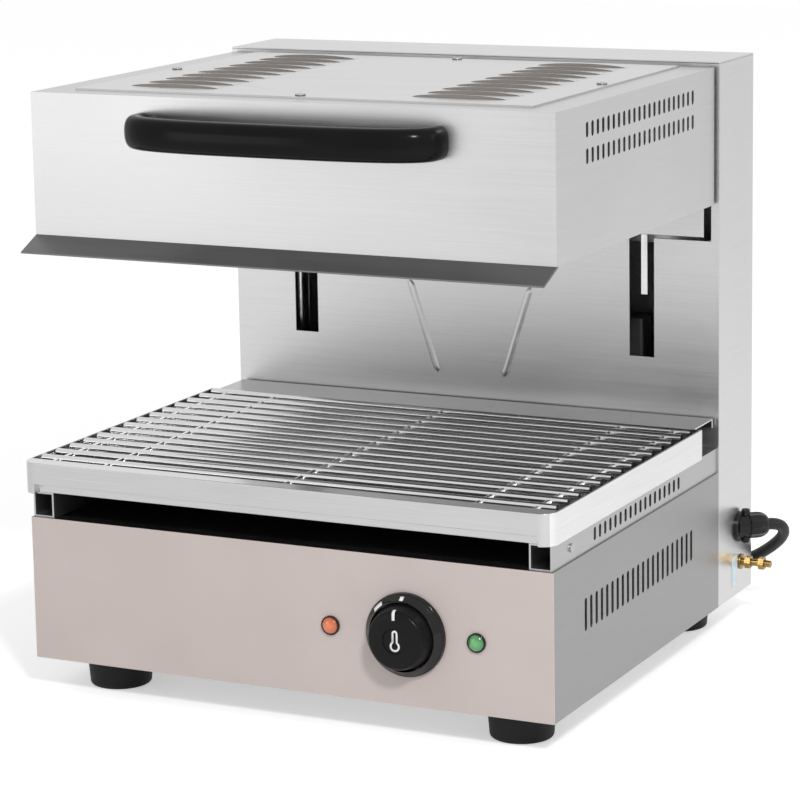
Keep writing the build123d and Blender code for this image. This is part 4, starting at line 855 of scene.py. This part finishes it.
def on_knob_face(points):
    """Point (right, up) of the dial plane, on the sunk middle of the knob's face."""
    height = np.full(len(points), KNOB_H - RECESS_H + 0.0001)
    return knob_middle + np.stack([points[:, 0], -height, points[:, 1]], axis=1)


def on_flare(points):
    """Point on the ring's flare: its angle, clockwise from the top in hundreds of degrees, and
    the share of the flare. Hundreds bring both numbers to a like size for the strip's width."""
    angle, share = np.radians(points[:, 0] * 100), points[:, 1]
    radius = flare_radius(share) + MARK_LIFT
    height = FLARE_FOOT_H + 0.0002 + FLARE_RISE * share
    return knob_middle + np.stack([radius * np.sin(angle), -height, radius * np.cos(angle)], axis=1)


POINTER_START = 0.0160
POINTER_LENGTH = 0.0096
POINTER_TURN = math.radians(-2)
outwards_profile = knob_profile[5:14][::-1]
edge_steps = np.linalg.norm(np.diff(outwards_profile, axis=0), axis=1)
edge_run = np.concatenate([[0], np.cumsum(edge_steps)])


def over_knob_edge(points):
    """Point (sideways, along) of a mark that starts on the face and follows the profile outwards."""
    run = points[:, 1] + POINTER_START - outwards_profile[0, 0]
    radius = np.interp(run, edge_run, outwards_profile[:, 0]) + MARK_LIFT
    height = np.interp(run, edge_run, outwards_profile[:, 1]) + MARK_LIFT
    x = radius * math.sin(POINTER_TURN) + points[:, 0] * math.cos(POINTER_TURN)
    z = radius * math.cos(POINTER_TURN) - points[:, 0] * math.sin(POINTER_TURN)
    return knob_middle + np.stack([x, -height, z], axis=1)


MARK_SHARE = 0.45
MARK_HALF = 0.27
MARK_T = 0.0002
SIGN_T = 0.0003
left_mark = np.linspace((-0.52, MARK_SHARE), (-0.35, MARK_SHARE), 17)
top_mark = np.linspace((-0.035, MARK_SHARE), (0.025, MARK_SHARE), 13)
ring_marks = ribbon("ring_marks", [left_mark, top_mark], MARK_HALF, on_flare, MARK_T)
hand_over(ring_marks, "base", "white_plastic", mark_white)
pointer_line = np.linspace((0, 0), (0, POINTER_LENGTH), 25)
pointer = ribbon("knob_pointer", [pointer_line], 0.0012, over_knob_edge, MARK_T)
hand_over(pointer, "knob", "white_plastic", mark_white)

# %% Thermometer sign of the knob
BULB_R = 0.0034
BULB_DROP = 0.0042
STEM_HALF = 0.0017
STEM_TOP = 0.0058
bulb_open = math.asin(STEM_HALF / BULB_R)
bulb_angle = np.linspace(math.pi / 2 + bulb_open, math.pi * 2.5 - bulb_open, 33)
bulb = np.stack([BULB_R * np.cos(bulb_angle), BULB_R * np.sin(bulb_angle) - BULB_DROP], axis=1)
cap_angle = np.linspace(0, math.pi, 13)
stem_cap = np.stack([STEM_HALF * np.cos(cap_angle), STEM_TOP + STEM_HALF * np.sin(cap_angle)], axis=1)
outline = np.concatenate([bulb, stem_cap, bulb[:1]])
sign = ribbon("knob_sign", [outline], 0.00075, on_knob_face, SIGN_T)
hand_over(sign, "knob", "white_plastic", mark_white)
print("points of the sign's outline:", len(outline))

# %% [markdown]
# ## Pilot lamps
#
# Each lamp is a clear coloured dome in a dark collar. The dome glows a little from within:
# its colour is lightest in the middle and deepest at the rim, so a round gradient about the
# lamp's own centre feeds the colour.


# %% Lamp lenses and collars
def lamp_finish(name, deep, light, centre, radius):
    """Coloured lens whose colour lightens towards its middle, under a clear coat."""
    material, shader = finish(name, Roughness=0.12, Coat_Weight=1.0, Coat_Roughness=0.03)
    tree = material.node_tree
    where = add_node(tree, "ShaderNodeTexCoord")
    mapping = add_node(tree, "ShaderNodeMapping", vector_type="TEXTURE", Location=tuple(centre))
    mapping.inputs["Scale"].default_value = (radius, radius, radius)
    ball = add_node(tree, "ShaderNodeTexGradient", gradient_type="SPHERICAL")
    facet = use_group(material, CLOUD, Scale=420.0, Fine_Scale=1500.0).outputs["Broad"]
    tree.links.new(where.outputs["Object"], mapping.inputs["Vector"])
    tree.links.new(mapping.outputs["Vector"], ball.inputs["Vector"])
    mix = add_node(tree, "ShaderNodeMix", data_type="RGBA")
    tree.links.new(ball.outputs["Fac"], mix.inputs[0])
    mix.inputs[6].default_value = (*deep, 1)
    mix.inputs[7].default_value = (*light, 1)
    shader.inputs["Emission Strength"].default_value = 0.06
    return wire(
        material,
        shader,
        Base_Color=mix.outputs[2],
        Emission_Color=mix.outputs[2],
        Normal=bump(material, facet, 2e-4, 0.5),
    )


LAMPS = {
    "orange_lens": ((0.28, 0.03, 0.004), (0.78, 0.19, 0.03)),
    "green_lens": ((0.004, 0.07, 0.015), (0.09, 0.44, 0.13)),
}
COLLAR_W = 0.0010
COLLAR_H = 0.0018
DOME_FOOT_H = 0.0016
for node, (deep, light) in LAMPS.items():
    low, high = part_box(node)
    lamp_r = (high.x - low.x) / 2
    lamp_h = high.y - low.y
    middle = np.array([(low.x + high.x) / 2, high.y, (low.z + high.z) / 2])
    dome_r = lamp_r - COLLAR_W
    lift = np.radians(np.linspace(0, 90, 12))
    dome_h = DOME_FOOT_H + (lamp_h - DOME_FOOT_H) * np.sin(lift)
    dome = np.stack([dome_r * np.cos(lift), dome_h], 1)
    dome_profile = np.concatenate([[(0.0, 0.0), (dome_r, 0.0)], dome])
    lens = surface(node + "_dome", [turned(dome_profile, middle, KNOB_AXIS, 48)])
    glow = lamp_finish(node + "_glow", deep, light, middle + KNOB_AXIS * lamp_h * 0.8, lamp_r * 1.1)
    hand_over(lens, "base", SLOT_OF[node], glow, node)
    collar_profile = np.concatenate(
        [
            [(dome_r, 0.0), (lamp_r, 0.0), (lamp_r, DOME_FOOT_H)],
            rounded_corner((lamp_r - COLLAR_W / 2, COLLAR_H), COLLAR_W / 2, 0, 180, 8),
            [(dome_r, 0.0)],
        ]
    )
    collar = surface(node + "_collar", [turned(collar_profile, middle, KNOB_AXIS, 48)])
    hand_over(collar, "base", "black_plastic", ring_black)
print("lamps:", len(LAMPS))

# %% [markdown]
# ## Cross rods of the grid
#
# Five rods run front to back and carry the grid's long rods, and their crossings catch the light as its
# brightest points. Each gets a turned skin with rounded ends. It stands a little higher than the
# imported rod, pressed up between the long rods, so that the crossings show from above. The skin's steel
# is painted much lighter than the grid's wire, as a painted highlight.

# %% Skins of the cross rods
CROSS_X = (-0.207, -0.160, 0.0, 0.160, 0.207)
ROD_R = 0.0030
ROD_EDGE_R = 0.0010
ROD_SKIN = 0.0004
ROD_RISE = 0.0026
grid_low, grid_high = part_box("grill_grid")
rod_length = grid_high.y - grid_low.y
rod_z = grid_low.z + ROD_R + ROD_RISE
rod_inner_r = ROD_R - ROD_EDGE_R
rod_profile = np.concatenate(
    [
        [(0.0, 0.0)],
        rounded_corner((rod_inner_r, ROD_EDGE_R), ROD_EDGE_R + ROD_SKIN, -80, 0, 4),
        rounded_corner((rod_inner_r, rod_length - ROD_EDGE_R), ROD_EDGE_R + ROD_SKIN, 0, 80, 4),
        [(0.0, rod_length)],
    ]
)
rod_grids = [
    turned(rod_profile, (x - CABINET_ORIGIN.x, grid_low.y, rod_z), (0, 1, 0), 32) for x in CROSS_X
]
cross_rods = surface("grid_cross_rods", rod_grids)
hand_over(cross_rods, "grid", SLOT_OF["grill_grid"], rod_steel_painted_bright)

# %% [markdown]
# ## Beads and louvres
#
# Two beads are pressed into the column's plate; they lean towards each other like the letter V.
# Each is a long ridge with a half-oval section and tapered ends. The louvres of the head are pressed
# too: each rises from nothing at its ends to full height in the middle, so its mouth is a thin crescent,
# and its back slopes down to the plate. In each mouth stands a dark strip, painted shade for the inside
# of the opening.

# %% Beads of the column's plate
BEAD_HALF_W = 0.0030
BEAD_H = 0.0015
BEAD_SUNK = 0.0002
BEAD_TAPER = 0.06
BEAD_TOP = (0.0565, 0.2900)
BEAD_FOOT = (0.0310, 0.2095)
plate_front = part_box("column_shell")[0].y - SHEET_T
share = np.linspace(0, 1, 49)
taper = np.sin(np.clip(np.minimum(share, 1 - share) / BEAD_TAPER, 0, 1) * math.pi / 2)
across = np.linspace(-1, 1, 17)
bead_section = np.sqrt(1 - 0.98 * across**2)
bead_grids = []
for side in (-1, 1):
    bead_x = side * (BEAD_TOP[0] + (BEAD_FOOT[0] - BEAD_TOP[0]) * share) - CABINET_ORIGIN.x
    bead_z = BEAD_TOP[1] + (BEAD_FOOT[1] - BEAD_TOP[1]) * share
    x = bead_x[:, None] + BEAD_HALF_W * taper[:, None] * across[None]
    y = plate_front + BEAD_SUNK - BEAD_H * taper[:, None] * bead_section[None]
    bead_grids.append(np.stack([x, y, np.broadcast_to(bead_z[:, None], x.shape)], axis=-1))
beads = surface("column_beads", bead_grids, wrap_cols=False)
hand_over(beads, "base", SLOT_OF["column_front"], column_sheet_painted_dark)

# %% Louvres of the head
LOUVRE_ROWS = 10
LOUVRE_PITCH = 0.026
LOUVRE_X = 0.122
LOUVRE_HALF = 0.0385
LOUVRE_H = 0.0025
LOUVRE_FRONT = 0.0681 - CABINET_ORIGIN.y
LOUVRE_DEPTH = 0.0092
MOUTH_INSET = 0.0005
cover_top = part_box("head_casing")[1].z + SHEET_T
along = np.linspace(-1, 1, 61)
back = np.linspace(0, 1, 9)
rise = LOUVRE_H * (1 - along**2) ** 0.7
hood_z = cover_top + FLAT_GAP * 2 + rise[:, None] * np.cos(back * math.pi / 2)[None]
hood_grids, mouth_grids = [], []
for side in (-1, 1):
    for row in range(LOUVRE_ROWS):
        x = side * LOUVRE_X - CABINET_ORIGIN.x + LOUVRE_HALF * along
        mouth_y = LOUVRE_FRONT + row * LOUVRE_PITCH
        hood = np.empty((len(along), len(back), 3))
        hood[..., 0] = x[:, None]
        hood[..., 1] = mouth_y + LOUVRE_DEPTH * back[None]
        hood[..., 2] = hood_z
        hood_grids.append(hood)
        mouth = np.empty((len(along), 2, 3))
        mouth[..., 0] = x[:, None]
        mouth[..., 1] = mouth_y + MOUTH_INSET
        mouth[:, 0, 2] = cover_top
        mouth[:, 1, 2] = cover_top + rise
        mouth_grids.append(mouth)
hoods = surface("louvre_hoods", hood_grids, wrap_cols=False)
hand_over(hoods, "head", SLOT_OF["head_cover"], brushed)
# painted shade: a dark strip stands in each mouth, in front of the opening
mouths = surface("louvre_shade_strips", mouth_grids, wrap_cols=False)
hand_over(mouths, "head", SLOT_OF["head_cover"], mouth_shade_paint)

# %% [markdown]
# ## Heads, feet and gland
#
# Small turned pieces come next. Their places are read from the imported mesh: it is split into
# its separate islands, and each island's box says where a screw or a foot is.

# %% Islands of a node
def islands(node):
    """(lowest corner, highest corner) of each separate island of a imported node's mesh."""
    shape = bmesh.new()
    shape.from_mesh(NODES[node].data)
    bmesh.ops.remove_doubles(shape, verts=shape.verts, dist=1e-5)
    shape.verts.ensure_lookup_table()
    found, seen = [], set()
    for first in shape.verts:
        if first.index in seen:
            continue
        seen.add(first.index)
        queue, members = [first], []
        while queue:
            vertex = queue.pop()
            members.append(vertex.co[:])
            for edge in vertex.link_edges:
                other = edge.other_vert(vertex)
                if other.index not in seen:
                    seen.add(other.index)
                    queue.append(other)
        members = np.array(members)
        found.append((members.min(axis=0), members.max(axis=0)))
    shape.free()
    return found


# %% Screw heads with a cross recess
HEAD_CLEARANCE = 0.00015
HEAD_RISE = 0.45
HEAD_FALL = 0.75
HEAD_RINGS = np.array([0, 0.08, 0.16, 0.24, 0.32, 0.40, 0.48, 0.54, 0.60, 0.72, 0.84, 0.94, 1.0])
RECESS_WIDTH = 0.13
RECESS_REACH = 0.56
RECESS_DEPTH = 0.55


def screw_head(centre, axis, radius, height, turn):
    """Domed head: height times the root of 1 - 0.75 (r / R) squared, less in two crossed slots."""
    radii = radius * HEAD_RINGS
    angle = np.linspace(0, 2 * math.pi, 72, endpoint=False)
    first, second = frame_of(axis)
    u, v = radii[:, None] * np.cos(angle - turn), radii[:, None] * np.sin(angle - turn)
    dome = height * np.sqrt(1 - HEAD_FALL * (radii / radius) ** 2)[:, None]
    slot_width = RECESS_WIDTH * radius
    in_cross = (np.abs(u) < slot_width) | (np.abs(v) < slot_width)
    in_slot = in_cross & (radii[:, None] < RECESS_REACH * radius)
    top = np.where(in_slot, dome - RECESS_DEPTH * height, dome)
    ring = np.cos(angle)[:, None] * first + np.sin(angle)[:, None] * second
    cap = centre + radii[:, None, None] * ring + top[..., None] * np.array(axis, float)
    skirt = centre + radius * ring[None]
    return np.concatenate([cap, skirt])


def screw_heads(name, node, axis, across, body, material, turn=0.4, next_turn=0.7):
    """Heads over those screws of a node that lie on the axis's side of the origin.

    Each head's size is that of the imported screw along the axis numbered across, and each recess
    is turned on from the last.
    """
    axis = np.array(axis, float)
    grids = []
    for low, high in islands(node):
        middle = (low + high) / 2
        if middle @ axis < 0:
            continue
        radius = (high[across] - low[across]) / 2 + HEAD_CLEARANCE
        tip = np.where(axis > 0, high, np.where(axis < 0, low, middle))
        height = HEAD_RISE * radius
        seat = tip - axis * (height - HEAD_CLEARANCE)
        grids.append(screw_head(seat, axis, radius, height, turn + next_turn * len(grids)))
    hand_over(surface(name, grids), body, SLOT_OF[node], material)


# the cover's heads get the darker steel, painted reflection
screw_heads("cover_screws_heads", "cover_screws", (0, 0, 1), 0, "head", screw_painted_dark)
screw_heads("back_screws_heads", "back_screws", (0, 1, 0), 0, "base", screw_steel)
for side, axis in (("left", (-1, 0, 0)), ("right", (1, 0, 0))):
    screw_heads("rail_screw_head_" + side, "rail_screws", axis, 2, "base", screw_steel, 0.6, 0.0)

# %% Feet
FOOT_EDGE_R = 0.003
FOOT_TAPER = 0.0022
FOOT_DISH = 0.0008
FOOT_TOP_GAP = 0.0001
foot_grids = []
for low, high in islands("feet"):
    middle = (low + high) / 2
    foot_r, foot_h = (high[0] - low[0]) / 2, high[2] - low[2]
    sole_r = foot_r - FOOT_TAPER - FOOT_EDGE_R
    top_h = foot_h - FOOT_TOP_GAP
    foot_profile = np.concatenate(
        [
            [(0.0, FOOT_DISH), (foot_r * 0.45, FOOT_DISH), (foot_r * 0.5, 0.0), (sole_r, 0.0)],
            rounded_corner((sole_r, FOOT_EDGE_R), FOOT_EDGE_R, -80, 0),
            [(foot_r - 0.0012, foot_h * 0.55), (foot_r - 0.0003, foot_h - 0.0012)],
            [(foot_r - 0.0008, top_h), (foot_r * 0.5, top_h), (foot_r * 0.4, top_h), (0.0, top_h)],
        ]
    )
    foot_grids.append(turned(foot_profile, (middle[0], middle[1], low[2]), (0, 0, 1), 64))
feet = surface("turned_feet", foot_grids)
hand_over(feet, "base", SLOT_OF["feet"], rubber, "feet")

# %% [markdown]
# ## Cable gland and clamp
#
# The gland points back and outwards, so that the lead clears the wall behind the grill. A round
# flange lies against the side sheet. The nut has twelve grips, which come from a ripple in the
# turned radius, and it narrows towards the lead. Two round bosses of a clamp stand on it.

# %% Gland
gland_seat = np.array(GLAND_SEAT)
FLANGE_R = 0.0129
FLANGE_T = 0.0039
FLANGE_EDGE_R = 0.0012
GLAND_R = 0.0115
GRIPS = 12
GRIP_DEPTH = 0.075
flange_profile = np.concatenate(
    [
        [(0.0, 0.0), (FLANGE_R, 0.0), (FLANGE_R, FLANGE_T - FLANGE_EDGE_R)],
        rounded_corner((FLANGE_R - FLANGE_EDGE_R, FLANGE_T - FLANGE_EDGE_R), FLANGE_EDGE_R, 0, 90),
        [(0.0, FLANGE_T)],
    ]
)
nut_profile = np.array(
    [
        (0.0, -0.002),
        (GLAND_R * 0.86, -0.002),
        (GLAND_R * 0.86, 0.0075),
        (GLAND_R * 0.98, 0.0085),
        (GLAND_R * 0.99, 0.0150),
        (GLAND_R * 0.96, 0.0185),
        (GLAND_R * 0.88, 0.0215),
        (GLAND_R * 0.74, 0.0242),
        (CORD_R * 1.35, GLAND_LENGTH - 0.0004),
        (CORD_R * 1.02, GLAND_LENGTH),
        (0.0, GLAND_LENGTH),
    ]
)


def grips(height, angle):
    """Ripple of the nut: one less the depth times |sin(grips / 2 times the angle)| to the 0.8.

    The depth is full from 10 to 20 mm up the nut, and fades out over 2 or 3 mm.
    """
    depth = np.clip((height - 0.008) / 0.002, 0, 1) * np.clip((0.023 - height) / 0.003, 0, 1)
    return 1 - GRIP_DEPTH * depth * np.abs(np.sin(GRIPS * angle / 2)) ** 0.8


# %% Bosses of the clamp, and the gland as one piece
BOSS_R = 0.0036
BOSS_EDGE_R = 0.001
BOSS_REACH = 0.0065
BOSS_FOOT_H = 0.006
BOSS_H = 0.0145
boss_shoulder = BOSS_H - BOSS_EDGE_R
boss_profile = np.concatenate(
    [
        [(0.0, BOSS_FOOT_H), (BOSS_R, BOSS_FOOT_H), (BOSS_R, boss_shoulder)],
        rounded_corner((BOSS_R - BOSS_EDGE_R, boss_shoulder), BOSS_EDGE_R, 0, 90),
        [(BOSS_R * 0.5, BOSS_H), (BOSS_R * 0.4, boss_shoulder), (0.0, boss_shoulder)],
    ]
)
boss_foot = gland_seat + np.array(GLAND_AXIS) * BOSS_REACH
gland = surface(
    "cable_gland_turned",
    [
        turned(flange_profile, gland_seat, (1, 0, 0), 64),
        turned(nut_profile, gland_seat, np.array(GLAND_AXIS), 144, grips),
        turned(boss_profile, boss_foot, (0, 0, 1), 40),
        turned(boss_profile, boss_foot, (0, 0, -1), 40),
    ],
)
hand_over(gland, "base", SLOT_OF["cable_gland"], gland_black, "cable_gland")

# %% [markdown]
# ## Plug
#
# The round two-pin plug lies on the floor at the end of the lead. Its boot is a long taper with
# grooves, so that the lead can't kink where it enters. The pins are turned too.

# %% Plug
plug_low, plug_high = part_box("mains_plug")
PLUG_AXIS = np.array([-1.0, 0.0, 0.0])
PLUG_R = (plug_high.z - plug_low.z) / 2 - 0.0002
PIN_LENGTH = 0.019
PIN_R = 0.0024
PIN_HALF_GAP = 0.0095
plug_back = np.array([plug_high.x, (plug_low.y + plug_high.y) / 2, (plug_low.z + plug_high.z) / 2])
plug_length = plug_high.x - plug_low.x - PIN_LENGTH
BOOT_LENGTH = 0.026
BOOT_LOW_R, BOOT_WIDENS = 0.0056, 0.0042
GROOVE_DEPTH = 0.0008
GROOVE_PITCH = 0.003
GROOVES_END = 0.021
PLUG_EDGE_R = 0.0015
boot_h = np.linspace(0, BOOT_LENGTH, 53)
boot_r = BOOT_LOW_R + BOOT_WIDENS * (boot_h / BOOT_LENGTH) ** 1.4
grooved = (boot_h > GROOVE_PITCH) & (boot_h < GROOVES_END)
in_groove = grooved & (np.sin(boot_h * 2 * math.pi / GROOVE_PITCH) > 0.2)
groove = np.where(in_groove, GROOVE_DEPTH, 0)
plug_profile = np.concatenate(
    [
        [(0.0, 0.0), (CORD_R, 0.0)],
        np.stack([boot_r - groove, boot_h], axis=1),
        [(PLUG_R * 0.72, BOOT_LENGTH + 0.002), (PLUG_R * 0.93, BOOT_LENGTH + 0.006)],
        [(PLUG_R, BOOT_LENGTH + 0.011), (PLUG_R, plug_length - 0.004)],
        rounded_corner((PLUG_R - PLUG_EDGE_R, plug_length - 0.0018), PLUG_EDGE_R, 0, 90),
        [(PLUG_R * 0.8, plug_length - 0.0003), (0.0, plug_length - 0.0003)],
    ]
)


def plug_flats(height, angle):
    """Two side flats past the boot: one less 0.4 times how far |sin(angle)| passes 0.75."""
    past_boot = np.clip((height - BOOT_LENGTH - 0.004) / 0.006, 0, 1)
    return 1 - 0.10 * past_boot * np.clip(np.abs(np.sin(angle)) - 0.75, 0, 1) * 4


plug = surface("round_plug", [turned(plug_profile, plug_back, PLUG_AXIS, 96, plug_flats)])
hand_over(plug, "base", SLOT_OF["mains_plug"], cord_rubber, "mains_plug")

# %% Pins of the plug
PIN_SUNK = 0.001
PIN_EDGE_R = 0.0016
pin_profile = np.concatenate(
    [
        [(0.0, -PIN_SUNK), (PIN_R, -PIN_SUNK), (PIN_R, PIN_LENGTH - 0.002)],
        rounded_corner((PIN_R - PIN_EDGE_R, PIN_LENGTH - 0.0017), PIN_EDGE_R, 0, 90),
        [(0.0, PIN_LENGTH - 0.0001)],
    ]
)
pin_foot = plug_back + PLUG_AXIS * plug_length
pin_feet = [pin_foot + np.array([0, side * PIN_HALF_GAP, 0]) for side in (-1, 1)]
pin_grids = [turned(pin_profile, foot, PLUG_AXIS, 32) for foot in pin_feet]
plug_pins = surface("plug_pins", pin_grids)
hand_over(plug_pins, "base", SLOT_OF["mains_plug"], bright)

# %% The lead's finish
hand_over(lead_flex, "base", SLOT_OF["mains_lead"], cord_rubber, "mains_lead", "cord_coil")

# %% [markdown]
# ## Wire ropes
#
# Inside the column, two wire ropes carry the head. Each goes up from the carriage, over its pulley and
# down to the iron weight. A rope is a round section with six bumps, one for each strand, and the section
# turns as it goes along, so the strands wind. The runs in front of the pulleys and behind them get
# longer and shorter as the head moves.

# %% Ropes
ROPE_R = 0.0015
ROPE_LAY = 0.012
ROPE_STEP = 0.0008
ROPE_SIDES = 36
STRANDS = 6
STRAND_DEPTH = 0.20
STRAND_SHARP = math.radians(80)


def rope_grid(path, normal):
    """Rope along a path in one plane: section radius with six bumps, wound once a lay."""
    path = np.array(path, float)
    step = np.linalg.norm(np.diff(path, axis=0), axis=1)
    length = np.concatenate([[0], np.cumsum(step)])
    angle = np.linspace(0, 2 * math.pi, ROPE_SIDES, endpoint=False)
    wound = angle[None] - (2 * math.pi * length / ROPE_LAY)[:, None]
    radius = ROPE_R * (1 - STRAND_DEPTH + STRAND_DEPTH * np.abs(np.cos(STRANDS * wound / 2)))
    ahead_of = np.gradient(path, axis=0)
    ahead_of /= np.linalg.norm(ahead_of, axis=1)[:, None]
    side = np.tile(np.array(normal, float), (len(path), 1))
    rise = np.cross(ahead_of, side)
    body = path[:, None] + (radius * np.cos(angle))[..., None] * side[:, None]
    body = body + (radius * np.sin(angle))[..., None] * rise[:, None]
    ends = [np.repeat(path[i, None, None], ROPE_SIDES, axis=1) for i in (0, -1)]
    return np.concatenate([ends[0], body, ends[1]])


front_low, front_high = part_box("front_cables")
rear_low, rear_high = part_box("rear_cables")
rope_x = (front_low.x + ROPE_R, front_high.x - ROPE_R)
front_y, rear_y = (front_low.y + front_high.y) / 2, (rear_low.y + rear_high.y) / 2
rope_top = front_high.z


def straight_rope(name, y, bottom, node):
    """Upright ropes from a moving body to the pulleys."""
    length = rope_top - bottom
    heights = np.arange(bottom, rope_top + 1e-4, length / round(length / ROPE_STEP))
    grids = [rope_grid([(x, y, z) for z in heights], (1, 0, 0)) for x in rope_x]
    rope = surface(name, grids)
    smooth_shading(rope.data, STRAND_SHARP)
    rope.data.materials.append(rope_steel)
    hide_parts(node)
    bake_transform(rope)
    return rope


straight_rope("front_ropes", front_y, front_low.z, "front_cables")
straight_rope("rear_ropes", rear_y, rear_low.z, "rear_cables")
wrap_middle, wrap_r = (front_y + rear_y) / 2, (rear_y - front_y) / 2
wrap_angle = np.linspace(math.pi, 0, 61)
wrap_y = wrap_middle + wrap_r * np.cos(wrap_angle)
wrap_z = rope_top + wrap_r * np.sin(wrap_angle)
wrap_paths = [np.stack([np.full_like(wrap_y, x), wrap_y, wrap_z], axis=1) for x in rope_x]
rope_wraps = surface("rope_wraps", [rope_grid(path, (1, 0, 0)) for path in wrap_paths])
smooth_shading(rope_wraps.data, STRAND_SHARP)
hand_over(rope_wraps, "base", SLOT_OF["cable_wraps"], rope_steel, "cable_wraps")

# %% [markdown]
# ## Floor, world and lamps
#
# The floor is a large pale plane. To the camera, to mirrors and to glass it shines white, but
# light that bounces off it is ordinary, so the grill still throws a soft shadow. The world does
# the same. One lamp stands in front on the right and high up; it throws the knob's shadow down
# to the left. A weaker one lights the right side, and one low on the left brightens the steel.

# %% Floor
def seen_ray(tree):
    """1 for rays from the camera, in mirrors or through glass, else 0."""
    path = add_node(tree, "ShaderNodeLightPath")
    total = path.outputs["Is Camera Ray"]
    for name in ("Is Glossy Ray", "Is Transmission Ray"):
        step = add_node(tree, "ShaderNodeMath", operation="MAXIMUM")
        tree.links.new(total, step.inputs[0])
        tree.links.new(path.outputs[name], step.inputs[1])
        total = step.outputs[0]
    return total


FLOOR_HALF = 6.0
FLOOR_GLOW = 0.45
floor_mesh = bpy.data.meshes.new("floor")
corners = [(-FLOOR_HALF, -FLOOR_HALF, 0), (FLOOR_HALF, -FLOOR_HALF, 0)]
corners += [(FLOOR_HALF, FLOOR_HALF, 0), (-FLOOR_HALF, FLOOR_HALF, 0)]
floor_mesh.from_pydata(corners, [], [(0, 1, 2, 3)])
floor = bpy.data.objects.new("floor", floor_mesh)
bpy.context.scene.collection.objects.link(floor)
floor_paint = bpy.data.materials.new("floor_paint")
floor_paint.use_nodes = True
floor_tree = floor_paint.node_tree
floor_shader = floor_tree.nodes["Principled BSDF"]
floor_shader.inputs["Base Color"].default_value = (0.86, 0.86, 0.86, 1)
floor_shader.inputs["Roughness"].default_value = 0.9
floor_shader.inputs["Specular IOR Level"].default_value = 0.0
floor_shader.inputs["Emission Color"].default_value = (1, 1, 1, 1)
glow_by_ray = add_node(floor_tree, "ShaderNodeMath", operation="MULTIPLY")
glow_by_ray.inputs[1].default_value = FLOOR_GLOW
floor_tree.links.new(seen_ray(floor_tree), glow_by_ray.inputs[0])
floor_tree.links.new(glow_by_ray.outputs[0], floor_shader.inputs["Emission Strength"])
floor_mesh.materials.append(floor_paint)

# %% World
WORLD_LIGHT = 0.62
world = bpy.data.worlds.new("studio")
world.use_nodes = True
bpy.context.scene.world = world
sky = world.node_tree.nodes["Background"]
sky.inputs["Color"].default_value = (1, 1, 1, 1)
strength = add_node(world.node_tree, "ShaderNodeMapRange")
strength.inputs["To Min"].default_value = WORLD_LIGHT
strength.inputs["To Max"].default_value = 1.0
world.node_tree.links.new(seen_ray(world.node_tree), strength.inputs["Value"])
world.node_tree.links.new(strength.outputs["Result"], sky.inputs["Strength"])


# %% Lamps
def area_lamp(name, place, target, size, energy):
    """Square soft lamp at a place, turned towards a target."""
    data = bpy.data.lights.new(name, "AREA")
    data.size = size
    data.energy = energy
    lamp = bpy.data.objects.new(name, data)
    lamp.location = place
    aim = Vector(target) - Vector(place)
    lamp.rotation_euler = aim.to_track_quat("-Z", "Y").to_euler()
    bpy.context.scene.collection.objects.link(lamp)


area_lamp("key", (1.3, -1.7, 1.7), (0, 0, 0.2), 0.30, 34)
area_lamp("side", (2.6, 0.4, 1.3), (0, 0, 0.2), 1.2, 6)
area_lamp("low_left", (-1.5, -2.3, 0.30), (0, 0, 0.3), 0.8, 3.2)
bpy.context.scene.view_settings.view_transform = "Standard"
print("stage ready")
